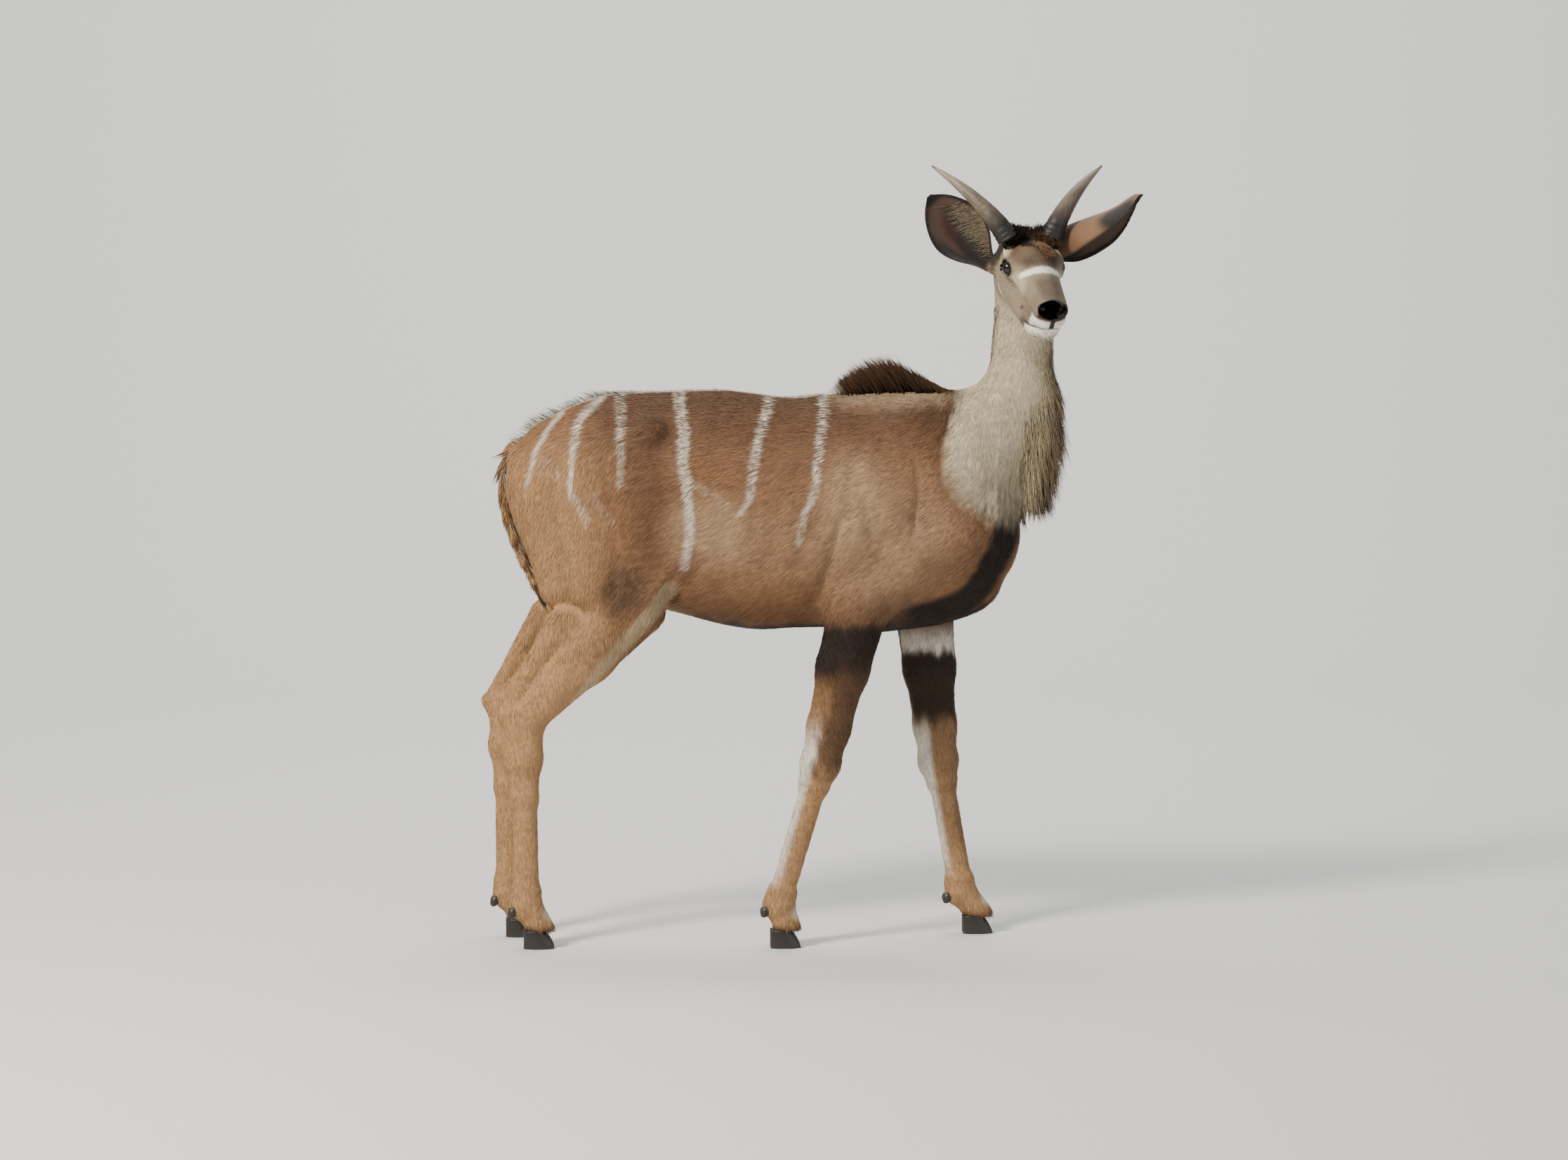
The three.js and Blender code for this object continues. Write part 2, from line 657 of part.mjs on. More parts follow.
// Torso: the trunk with the roots of the four legs
function torso() {
  const planes = [below(NECK_CUT), level(FORE_CUT_Z)];
  const skin = net(clipped(planes, CUT_MARGIN), TORSO_LOW, TORSO_HIGH, TORSO_CELL);
  const hindSlab = new THREE.BoxGeometry(700, 900, 600);
  hindSlab.translate(-350 - 175, 0, HIND_CUT_Z + GAP / 2 - 300);
  const body = largest(trim(toSolid(skin), planes).subtract(toSolid(hindSlab)));
  const crest = crestLocks().map((piece) => trim(piece, [below(NECK_CUT)]));
  return fuse(body, crest).subtract(tail(GAP));
}

// The neck's throat fringe and the short mane on its nape
function neckLocks() {
  const random = seeded(23);
  const locks = [];
  const rows = 7;
  for (let row = 0; row < rows; row++) {
    const z = 1312 - row * 48;
    const spread = row < 3 ? 1 : 2;
    for (let column = -spread; column <= spread; column++) {
      const turn = radians(column * 27 + (row % 2) * 12 - 6);
      const out = unit([Math.cos(turn), Math.sin(turn), 0]);
      const root = surface([590, 0, z], out);
      if (dot(sub(root, NECK_CUT.point), NECK_CUT.normal) < 34) continue;
      const length = (row < 2 ? 56 : 86 - 3 * row) * (0.85 + 0.3 * random());
      locks.push(lock({
        root,
        way: unit(add(mul(out, 0.5 + 0.05 * row), [0.04, 0, -1])),
        bend: mul(add(mul(out, -0.14), [0, 0, -0.1]), 1),
        side: cross(out, [0, 0, 1]),
        length,
        width: 50,
        thick: 12,
        sink: 14,
      }));
    }
  }
  for (let i = 0; i < 6; i++) {
    const z = 1240 + i * 32;
    locks.push(lock({
      root: surface([600, (i % 2) * 8 - 4, z], [-1, 0, 0]),
      way: unit([-0.5, 0, -1]),
      bend: [0.18, 0, -0.06],
      side: [0, 1, 0],
      length: 34 + 8 * random(),
      width: 22,
      thick: 7,
      sink: 9,
    }));
  }
  return locks;
}

function neck() {
  const path = steps([[574, 0, 1100], [600, -2, 1210], [604, -3, 1330], [602, 0, 1400]], 28);
  const planes = [above(NECK_CUT), below(HEAD_CUT)];
  const skin = skinAlong(
    path, across, evenAngles(18), [[15, 30, 45, 60, 75], [30, 60]], planes, CUT_MARGIN);
  const body = largest(trim(toSolid(skin), planes));
  const clear = neckLocks().map((piece) => trim(piece, [above(NECK_CUT)]));
  return fuse(body, clear);
}

// Eyes look out and a little forward. Each lid is a shell with an almond opening.
const EYE_PLACE = [131, 54.5, 1];
const eyeCentre = (side) => headPoint(EYE_PLACE[0], side * EYE_PLACE[1], EYE_PLACE[2]);
const gaze = (side) => unit(headVector(0.56, side * 0.8, 0.12));

function ball(centre, radius, columns = 10, rows = 7) {
  const geometry = new THREE.SphereGeometry(radius, columns, rows);
  geometry.translate(...centre);
  return toSolid(geometry);
}

function lidOpening(side) {
  const corners = 12;
  const forward = unit(sub(HEAD_S, mul(gaze(side), dot(HEAD_S, gaze(side)))));
  const upward = cross(gaze(side), forward);
  const outline = evenAngles(corners).map((angle) => {
    const along = Math.cos(angle) * 16;
    const high = Math.sin(angle) * 11.5 * Math.abs(Math.sin(angle)) ** 0.25;
    return add(mul(forward, along), mul(upward, high));
  });
  const ring = (depth, size) =>
    outline.map((point) => add(add(eyeCentre(side), mul(gaze(side), depth)), mul(point, size)));
  const rings = [ring(4, 0.8), ring(30, 1.15)];
  return turnedOut(loft(rings, [centreOf(rings[0]), centreOf(rings[1])]));
}

// A thin cord of flesh to be cut away along a row of places on the head
function groove(corners, radius) {
  const curve = new THREE.CatmullRomCurve3(corners.map((p) => new THREE.Vector3(...p)));
  const section = new THREE.Shape(evenAngles(5).map((angle) =>
    new THREE.Vector2(Math.cos(angle) * radius, Math.sin(angle) * radius)));
  return toSolid(new THREE.ExtrudeGeometry(section, { steps: 12, extrudePath: curve }));
}

const headSurface = (s, l, t) => {
  const axis = headPoint(s > 280 ? 280 : s, 0, -14);
  return surface(axis, unit(sub(headPoint(s, l, t), axis)));
};

function headLocks() {
  const random = seeded(41);
  const locks = [];
  for (let i = 0; i < 5; i++) {
    const l = (i - 2) * 10;
    locks.push(lock({
      root: headSurface(84 + 5 * (i % 2), l, 52),
      way: unit(headVector(0.45 + 0.3 * random(), l * 0.01, 1)),
      bend: headVector(0.25, 0, -0.1),
      side: HEAD_L,
      length: 26 + 6 * random(),
      width: 16,
      thick: 6,
      sink: 8,
    }));
  }
  for (let i = 0; i < 4; i++) {
    locks.push(lock({
      root: headSurface(262 - 6 * i, ((i % 3) - 1) * 7, -58),
      way: unit(headVector(0.05, 0, -1)),
      bend: headVector(-0.2, 0, 0),
      side: HEAD_L,
      length: 15 + 4 * random(),
      width: 9,
      thick: 4.5,
      sink: 6,
    }));
  }
  return locks;
}

function head() {
  const path = steps([headPoint(40, 0, -4), headPoint(140, 0, -8), headPoint(284, 0, -14)], 15);
  const planes = [above(HEAD_CUT)];
  const skin = skinAlong(
    path, HEAD_L, evenAngles(22), [[18, 36, 54, 72], [22, 44, 66]], planes, CUT_MARGIN);
  let body = largest(trim(toSolid(skin), planes));
  for (const side of [-1, 1]) {
    body = body.add(ball(eyeCentre(side), EYE_RADIUS + LID_THICKNESS))
      .subtract(ball(eyeCentre(side), EYE_RADIUS + GAP))
      .subtract(lidOpening(side));
    const nostril = new THREE.SphereGeometry(1, 8, 6);
    nostril.scale(9, 4.5, 6.5);
    nostril.rotateZ(side * 0.9);
    const turn = new THREE.Matrix4().makeBasis(
      new THREE.Vector3(...HEAD_S), new THREE.Vector3(...HEAD_L), new THREE.Vector3(...HEAD_T));
    nostril.applyMatrix4(turn);
    nostril.translate(...headPoint(303, side * 15, -4));
    body = body.subtract(toSolid(nostril));
  }
  const lips = [-1, -0.72, -0.4, 0, 0.4, 0.72, 1].map((place) =>
    headSurface(300 - 74 * place * place, place * 34, -36 + 8 * Math.abs(place)));
  body = body.subtract(groove(lips, 2.4));
  body = fuse(body, headLocks());
  for (const side of [-1, 1]) body = body.subtract(horn(side, GAP));
  for (const spec of Object.values(EARS)) body = body.subtract(ear(spec, GAP));
  return body;
}

// Horns rise from the crown and curve out, back and up to a fine point
const HORN_ROOT = [70, 48, 38];
const HORN_TIP = [-86, 195, 127];
const HORN_BEND = { '-1': [20, 103, 111], '1': [20, 86, 120] };
function hornPoint(side, u) {
  const [a, b, c] = [HORN_ROOT, HORN_BEND[side], HORN_TIP].map(
    ([s, l, t]) => headPoint(s, side * l, t));
  return mixV(mixV(a, b, u), mixV(b, c, u), u);
}

function horn(side, grow = 0) {
  const count = 14;
  const rings = [];
  for (let i = 0; i <= count; i++) {
    const u = (i / count) * 0.985;
    const along = unit(sub(hornPoint(side, u + 0.01), hornPoint(side, u)));
    const front = unit(cross(HEAD_L, along));
    const beside = cross(along, front);
    const radius = 24.5 * (1 - u) ** 0.72 * (1 + (i % 2 ? 0.035 : -0.02) * Math.max(0, 1 - 2 * u)) + 1.2;
    rings.push(evenAngles(10).map((angle) => {
      const keel = 1 + 0.12 * Math.cos(angle - side * u * 2.2);
      const out = add(mul(front, Math.cos(angle)), mul(beside, Math.sin(angle)));
      return add(hornPoint(side, u), mul(out, radius * keel + grow));
    }));
  }
  const root = sub(hornPoint(side, 0), mul(unit(sub(hornPoint(side, 0.1), hornPoint(side, 0))), 4 + grow));
  return turnedOut(loft(rings, [root, hornPoint(side, 1)]));
}

// Ears are deep leaves, rolled to a tube at the root and open toward the face
const EAR_SHAPE = [
  [0, 17, 128], [0.12, 30, 112], [0.28, 56, 84], [0.46, 71, 66], [0.62, 69, 58],
  [0.8, 52, 50], [0.92, 31, 42], [1, 6, 30],
];
function ear(spec, grow = 0) {
  const { tip, open, breadth, curl, bow, fullest } = spec;
  const root = headPoint(...spec.root);
  const axis = unit(tip);
  const length = Math.hypot(...tip);
  const mouth = unit(sub(open, mul(axis, dot(open, axis))));
  const wide = cross(axis, mouth);
  const rows = 9;
  const columns = 8;
  const point = (u, v, inset) => {
    const [half, flare] = station(EAR_SHAPE, u);
    const roll = flare * curl;
    const turn = radians(roll) * v;
    const radius = breadth * half / Math.sin(Math.min(radians(roll), Math.PI / 2)) - inset;
    const centre = add(root, mul(axis, length * u));
    const depth = radius * (Math.cos(turn) - Math.cos(radians(roll)) * 0.35)
      - bow * Math.sin(Math.PI * u ** fullest);
    return add(centre, add(mul(wide, radius * Math.sin(turn)), mul(mouth, -depth)));
  };
  const points = [];
  for (const inset of [-grow, EAR_THICKNESS + grow])
    for (let i = 0; i <= rows; i++)
      for (let j = 0; j <= columns; j++) {
        const edge = (step, count) => (step === 0 ? 1 : step === count ? -1 : 0);
        const at = (a, b) => point(a / rows, (b / columns) * 2 - 1, inset);
        const here = at(i, j);
        const inward = add(
          sub(here, at(i + edge(i, rows), j)), sub(here, at(i, j + edge(j, columns))));
        const past = Math.hypot(...inward) > 0 ? mul(unit(inward), 2 * grow) : [0, 0, 0];
        points.push(add(here, past));
      }
  const at = (layer, i, j) => (layer * (rows + 1) + i) * (columns + 1) + j;
  const faces = [];
  const quad = (a, b, c, d) => faces.push(a, b, c, a, c, d);
  for (let i = 0; i < rows; i++)
    for (let j = 0; j < columns; j++) {
      quad(at(0, i, j), at(0, i, j + 1), at(0, i + 1, j + 1), at(0, i + 1, j));
      faces.push(at(1, i, j), at(1, i + 1, j + 1), at(1, i, j + 1));
      faces.push(at(1, i, j), at(1, i + 1, j), at(1, i + 1, j + 1));
    }
  for (let j = 0; j < columns; j++) {
    quad(at(0, 0, j + 1), at(0, 0, j), at(1, 0, j), at(1, 0, j + 1));
    quad(at(0, rows, j), at(0, rows, j + 1), at(1, rows, j + 1), at(1, rows, j));
  }
  for (let i = 0; i < rows; i++) {
    quad(at(0, i, 0), at(0, i + 1, 0), at(1, i + 1, 0), at(1, i, 0));
    quad(at(0, i + 1, columns), at(0, i, columns), at(1, i, columns), at(1, i + 1, columns));
  }
  const geometry = new THREE.BufferGeometry();
  geometry.setAttribute('position', new THREE.Float32BufferAttribute(points.flat(), 3));
  geometry.setIndex(faces);
  const plug = ball(add(root, mul(axis, 8)), 19 + grow);
  return turnedOut(geometry).add(plug);
}

// A hoof half: a flat sole, a steep wall and a level top under the coronet
function hoof(toe, side) {
  const sections = [[0, 1, 0], [12, 0.96, -3], [26, 0.9, -9], [CORONET_Z - GAP, 0.82, -17]];
  const rings = sections.map(([z, size, back]) => evenAngles(12).map((angle) => {
    const along = Math.cos(angle);
    const out = Math.sin(angle);
    const half = (HOOF_WIDTH / 2) * (1 - 0.42 * Math.max(along, 0) ** 2);
    const centreX = toe[0] - HOOF_LENGTH / 2;
    const x = centreX + back * Math.max(0.35, (along + 1) / 2) + along * (HOOF_LENGTH / 2) * size;
    const inner = toe[1] + side * (HOOF_CLEFT / 2 + HOOF_WIDTH / 2);
    return [x, inner + out * half * (0.92 + 0.08 * size), z];
  }));
  return turnedOut(loft(rings, [centreOf(rings[0]), centreOf(rings[rings.length - 1])]));
}

function dewclaw(fetlock, side, grow = 0) {
  const claw = new THREE.SphereGeometry(1, 8, 5);
  claw.scale(10 + grow, 8 + grow, 14 + grow);
  claw.rotateY(0.5);
  claw.translate(fetlock[0] - 31, fetlock[1] + side * 15, fetlock[2] - 18);
  return toSolid(claw);
}

place('torso', torso(), MATERIALS.coat);
place('neck', neck(), MATERIALS.coat);
place('head', head(), MATERIALS.face);
place('tail', tail(), MATERIALS.coat);
for (const [sideName, side] of [['right', -1], ['left', 1]]) {
  place(`eye_${sideName}`, ball(eyeCentre(side), EYE_RADIUS), MATERIALS.eye);
  place(`horn_${sideName}`, horn(side), MATERIALS.horn);
  place(`ear_${sideName}`, ear(EARS[`ear_${sideName}`]), MATERIALS.ear);
}

for (const [name, { joints, toe }] of Object.entries(LEGS)) {
  const fore = name.startsWith('fore');
  const cut = level(fore ? FORE_CUT_Z : HIND_CUT_Z);
  const bend = level(fore ? CARPUS_CUT_Z : HOCK_CUT_Z);
  const sole = above(level(CORONET_Z));
  const [, top, middle, fetlock] = joints;
  const start = mixV(top, middle, (top[2] - cut.point[2] + 4) / (top[2] - middle[2]));
  const split = mixV(middle, fetlock, (middle[2] - bend.point[2]) / (middle[2] - fetlock[2]));
  const margin = 10;
  const upper = skinAlong(
    steps([start, middle, add(split, [0, 0, -2])], 30), across, evenAngles(12), [[45], [45]],
    [below(cut), above(bend)], margin);
  place(`${name}_upper`, trim(toSolid(upper), [below(cut), above(bend)]), MATERIALS.legCoat);
  const foot = add(fetlock, [16, 0, -46]);
  const lower = skinAlong(
    steps([add(split, [0, 0, 2]), fetlock, foot], 34), across, evenAngles(11), [[45], [45]],
    [below(bend), sole], margin);
  const shank = [-1, 1].reduce((rest, side) => rest.subtract(dewclaw(fetlock, side, GAP)),
    trim(toSolid(lower), [below(bend), sole]));
  place(`${name}_lower`, shank, MATERIALS.legCoat);
  for (const [half, side] of [['right', -1], ['left', 1]]) {
    place(`${name}_hoof_${half}`, hoof(toe, side), MATERIALS.hoof);
    place(`${name}_dewclaw_${half}`, dewclaw(fetlock, side), MATERIALS.hoof);
  }
}

// The origin is at the middle of the box's floor
const box = new THREE.Box3().setFromObject(group, true);
group.position.set(-(box.min.x + box.max.x) / 2, -(box.min.y + box.max.y) / 2, -box.min.z);

export default group;
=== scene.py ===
import math

import bmesh
import bpy
import numpy as np
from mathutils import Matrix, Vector


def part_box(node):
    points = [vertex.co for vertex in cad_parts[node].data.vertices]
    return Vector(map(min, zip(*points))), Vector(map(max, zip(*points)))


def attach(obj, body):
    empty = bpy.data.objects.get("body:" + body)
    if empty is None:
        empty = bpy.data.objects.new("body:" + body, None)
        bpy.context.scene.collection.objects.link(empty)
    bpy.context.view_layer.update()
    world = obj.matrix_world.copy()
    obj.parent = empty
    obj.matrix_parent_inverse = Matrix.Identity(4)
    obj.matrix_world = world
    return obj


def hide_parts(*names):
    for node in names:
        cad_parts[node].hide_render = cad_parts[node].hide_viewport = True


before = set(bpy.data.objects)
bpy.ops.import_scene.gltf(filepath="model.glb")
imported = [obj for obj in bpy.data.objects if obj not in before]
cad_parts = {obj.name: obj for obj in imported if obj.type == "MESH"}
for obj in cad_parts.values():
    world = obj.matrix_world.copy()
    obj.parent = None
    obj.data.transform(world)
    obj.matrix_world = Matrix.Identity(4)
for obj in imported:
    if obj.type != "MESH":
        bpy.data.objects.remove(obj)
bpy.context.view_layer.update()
random = np.random.default_rng(7)

# Directions and curves. Shapes are worked out in millimetres, in the same frame as the
# solids before these were centred, and become metres when a mesh is made.
# The bull walks along +X, +Y is its left, +Z is up.
def vector(*values):
    return np.array(values, float)


def unit(v):
    return v / np.maximum(np.linalg.norm(v, axis=-1, keepdims=True), 1e-9)


def mix(a, b, t):
    return a + (b - a) * t


def ramp(x, low, high):
    u = np.clip((x - low) / (high - low), 0, 1)
    return u * u * (3 - 2 * u)


def station(rows, x):
    rows = np.array(rows, float)
    place, values = rows[:, 0], rows[:, 1:]
    count = len(rows)
    before = np.maximum(np.arange(count) - 1, 0)
    after = np.minimum(np.arange(count) + 1, count - 1)
    slope = (values[after] - values[before]) / (place[after] - place[before])[:, None]
    i = np.clip(np.searchsorted(place, x, "right") - 1, 0, count - 2)
    span = (place[i + 1] - place[i])[:, None]
    u = np.clip((x - place[i])[:, None] / span, 0, 1)
    return (values[i] * (1 + 2 * u) * (1 - u) ** 2 + slope[i] * span * u * (1 - u) ** 2
            + values[i + 1] * u * u * (3 - 2 * u) + slope[i + 1] * span * u * u * (u - 1))


def along_line(x, z, line):
    best = np.full(len(x), 1e9)
    for (xa, za), (xb, zb) in zip(line, line[1:]):
        u = ((x - xa) * (xb - xa) + (z - za) * (zb - za)) / ((xb - xa) ** 2 + (zb - za) ** 2)
        u = np.clip(u, 0, 1)
        best = np.minimum(best, np.hypot(x - mix(xa, xb, u), z - mix(za, zb, u)))
    return best


def wave(p, size, seed):
    draw = np.random.default_rng(seed)
    total = np.zeros(len(p))
    for _ in range(7):
        way = unit(draw.normal(size=3)) * (2 * math.pi / size) * draw.uniform(0.6, 1.6)
        total += np.sin(p @ way + draw.uniform(0, 6.28))
    return total / 3.2


HEAD_YAW = math.radians(-77.4)
HEAD_PITCH = math.radians(31)
NOSE = vector(654, -245, 1389)
HEAD_LENGTH = 310
HEAD_S = vector(math.cos(HEAD_PITCH) * math.cos(HEAD_YAW),
                math.cos(HEAD_PITCH) * math.sin(HEAD_YAW), -math.sin(HEAD_PITCH))
HEAD_L = vector(-math.sin(HEAD_YAW), math.cos(HEAD_YAW), 0)
HEAD_T = np.cross(HEAD_S, HEAD_L)
HEAD_AXES = np.array([HEAD_S, HEAD_L, HEAD_T])
HEAD_ORIGIN = NOSE - HEAD_S * HEAD_LENGTH


def head_vector(s, l, t):
    return vector(s, l, t) @ HEAD_AXES


def head_point(s, l, t):
    return HEAD_ORIGIN + head_vector(s, l, t)


SIDES = (("right", -1), ("left", 1))
EYE_RADIUS = 17
EYE_PLACE = (131, 54.5, 1)


def eye_centre(side):
    return head_point(EYE_PLACE[0], side * EYE_PLACE[1], EYE_PLACE[2])


def gaze(side):
    return unit(head_vector(0.6, side * 0.7, 0.28))


def eye_axes(side):
    out = gaze(side)
    forward = unit(HEAD_S - out * (HEAD_S @ out))
    return forward, np.cross(out, forward) * side, out


low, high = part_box("eye_right")
SHIFT = eye_centre(-1) - np.array((low + high) / 2) * 1000


# Making meshes: vertices in millimetres, faces of three corners each, the colour of every
# vertex and, for hair, its place on the unwrap of its region.
def make(name, points, faces, material, colours, uv=None, normals=None):
    mesh = bpy.data.meshes.new(name)
    points = (np.asarray(points) - SHIFT) / 1000
    faces = np.asarray(faces, np.int32)
    mesh.vertices.add(len(points))
    mesh.vertices.foreach_set("co", points.astype(np.float32).ravel())
    mesh.loops.add(faces.size)
    mesh.loops.foreach_set("vertex_index", faces.ravel())
    mesh.polygons.add(len(faces))
    mesh.polygons.foreach_set(
        "loop_start", np.arange(0, faces.size, faces.shape[1], dtype=np.int32))
    mesh.update(calc_edges=True)
    mesh.polygons.foreach_set("use_smooth", np.full(len(faces), True))
    rgba = np.ones((len(points), 4), np.float32)
    rgba[:, :3] = np.clip(colours, 0, 1)
    mesh.color_attributes.new("Col", "FLOAT_COLOR", "POINT")
    mesh.color_attributes["Col"].data.foreach_set("color", rgba.ravel())
    if uv is not None:
        layer = mesh.uv_layers.new(name="OFBake")
        layer.data.foreach_set("uv", uv[faces.ravel()].astype(np.float32).ravel())
    if normals is not None:
        mesh.normals_split_custom_set_from_vertices(normals.astype(np.float32))
    mesh.materials.append(material)
    piece = bpy.data.objects.new(name, mesh)
    bpy.context.scene.collection.objects.link(piece)
    return piece


def ink(code):
    parts = np.array([int(code[i:i + 2], 16) for i in (1, 3, 5)]) / 255
    return np.where(parts < 0.04045, parts / 12.92, ((parts + 0.055) / 1.055) ** 2.4)


def material(name, roughness, colour=None, sheen=0.0, bump=0.0, bump_size=400, coat=0.0):
    made = bpy.data.materials.new(name)
    made.use_nodes = True
    nodes, links = made.node_tree.nodes, made.node_tree.links
    shader = nodes["Principled BSDF"]
    shader.inputs["Roughness"].default_value = roughness
    shader.inputs["Sheen Weight"].default_value = sheen
    shader.inputs["Coat Weight"].default_value = coat
    shader.inputs["Specular IOR Level"].default_value = 0.25 if roughness > 0.5 else 0.5
    if colour is None:
        source = nodes.new("ShaderNodeVertexColor")
        source.layer_name = "Col"
        links.new(source.outputs["Color"], shader.inputs["Base Color"])
    else:
        shader.inputs["Base Color"].default_value = (*colour, 1)
    if bump > 0:
        place = nodes.new("ShaderNodeTexCoord")
        noise = nodes.new("ShaderNodeTexNoise")
        noise.inputs["Scale"].default_value = bump_size
        noise.inputs["Detail"].default_value = 3
        relief = nodes.new("ShaderNodeBump")
        relief.inputs["Strength"].default_value = bump
        relief.inputs["Distance"].default_value = 0.001
        links.new(place.outputs["Object"], noise.inputs["Vector"])
        links.new(noise.outputs["Fac"], relief.inputs["Height"])
        links.new(relief.outputs["Normal"], shader.inputs["Normal"])
    return made


def finish_piece(piece, slot, *nodes):
    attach(piece, "root")
    if nodes:
        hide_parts(*nodes)
    return piece


# The flesh: one rounded body as in the solids, a trunk with a measured profile and
# muscles that blend into it. A part gives its distance from a row of points.
BELLY_Z = 690
TRUNK = [
    (-500, 1092, 900, 70, 1000), (-460, 1142, 850, 96, 1000), (-413, 1166, 800, 116, 1000),
    (-365, 1188, 770, 130, 995), (-316, 1205, 752, 138, 990), (-243, 1213, 745, 144, 985),
    (-145, 1217, 722, 152, 965), (-47, 1219, 697, 162, 945), (28, 1211, BELLY_Z - 3, 168, 930),
    (98, 1203, BELLY_Z, 168, 925), (169, 1209, BELLY_Z + 1, 162, 925),
    (253, 1213, BELLY_Z, 152, 925), (333, 1217, BELLY_Z + 1, 140, 920),
    (404, 1217, BELLY_Z + 6, 128, 920), (450, 1203, BELLY_Z + 16, 116, 925),
    (500, 1165, 730, 102, 930), (545, 1105, 775, 84, 935),
]
CORONET_Z = 40
LEGS = {
    "foreleg_right": (-1, ((445, -104, 905), (243, -104, 762), (160, -99, 405), (70, -95, 98)),
                      (118, -95, 0)),
    "foreleg_left": (1, ((520, 104, 915), (395, 104, 745), (430, 99, 385), (481, 95, 98)),
                     (552, 95, 0)),
    "hindleg_right": (-1, ((-330, -95, 1010), (-232, -108, 765), (-487, -96, 497),
                           (-481, -90, 98)), (-420, -88, 0)),
    "hindleg_left": (1, ((-345, 95, 1010), (-262, 108, 768), (-525, 90, 508), (-523, 85, 98)),
                     (-462, 83, 0)),
}


def muscle(a, b, ra, rb, flat=1.0, blend=30, side=(0, 1, 0)):
    a, b, side = vector(*a), vector(*b), vector(*side)
    axis = b - a
    squeeze = flat * flat - 1

    def distance(p):
        q = p - a
        u = np.clip(q @ axis / (axis @ axis), 0, 1)
        out = q - u[:, None] * axis
        return np.sqrt((out * out).sum(1) + squeeze * (out @ side) ** 2) - mix(ra, rb, u)
    return distance, blend


def bulge(centre, radii, blend=30, axes=np.eye(3)):
    centre, radii = vector(*centre), vector(*radii)

    def distance(p):
        along = (p - centre) @ axes.T / radii
        near = np.sqrt((along * along).sum(1))
        steep = np.sqrt(((along / radii) ** 2).sum(1))
        return near * (near - 1) / np.maximum(steep, 1e-9)
    return distance, blend


def head_muscle(a, b, ra, rb, flat=1.0, blend=16):
    return muscle(head_point(*a), head_point(*b), ra, rb, flat, blend, HEAD_L)


def head_bulge(centre, radii, blend=14):
    return bulge(head_point(*centre), radii, blend, HEAD_AXES)


def trunk(p):
    first, last = TRUNK[0][0], TRUNK[-1][0]
    x = np.clip(p[:, 0], first, last)
    top, bottom, width, widest = station(TRUNK, x).T
    z, y = p[:, 2], p[:, 1]
    height = np.where(z > widest, top - widest, widest - bottom)
    power = np.where(z > widest, 1.9, 2.3)
    ratio = ((np.abs(z - widest) / height) ** power + (np.abs(y) / width) ** power) ** (1 / power)
    reach = np.hypot(y, z - widest) / np.maximum(ratio, 1e-6)
    skin = (ratio - 1) * np.minimum(reach, np.minimum(height, width) * 1.2)
    beyond = np.abs(p[:, 0] - x)
    past = np.maximum(skin, 0) * 0.7 + beyond + np.minimum(skin, 0) * 0.3
    return np.where(beyond > 0, past, skin)


def foreleg(side, joints, toe):
    shoulder, elbow, carpus, fetlock = (vector(*joint) for joint in joints)
    along = lambda t: mix(elbow, carpus, t)
    cannon = lambda t: mix(carpus, fetlock, t)
    blade = vector(mix(345, shoulder[0], 0.1), side * 62, 1135)
    coronet = vector(toe[0] - 30, toe[1], CORONET_Z)
    inward = vector(0, -side, 0)
    return [
        muscle(blade, shoulder + inward * 14, 62, 70, 1.75, 45),
        muscle(shoulder + inward * 12, elbow + (8, -side * 4, 12), 66, 60, 1.35, 35),
        muscle(mix(blade, elbow, 0.38), elbow + (-18, side * 2, 26), 66, 40, 1.35, 35),
        muscle(elbow + (2, 0, -8), along(0.42), 69, 60, 1.42, 34),
        muscle(along(0.42), along(0.78), 58, 48, 1.38, 20),
        muscle(along(0.78), along(1), 47, 44, 1.2, 20),
        muscle(along(1), cannon(0.13), 43, 36, 1.15, 16),
        muscle(cannon(0.16), cannon(0.8), 29.5, 28.5, 1.22, 18),
        muscle(cannon(0.93), fetlock + (-3, 0, -4), 35, 35, 1.2, 16),
        muscle(fetlock + (4, 0, -6), coronet, 31, 32, 1.12, 12),
    ]


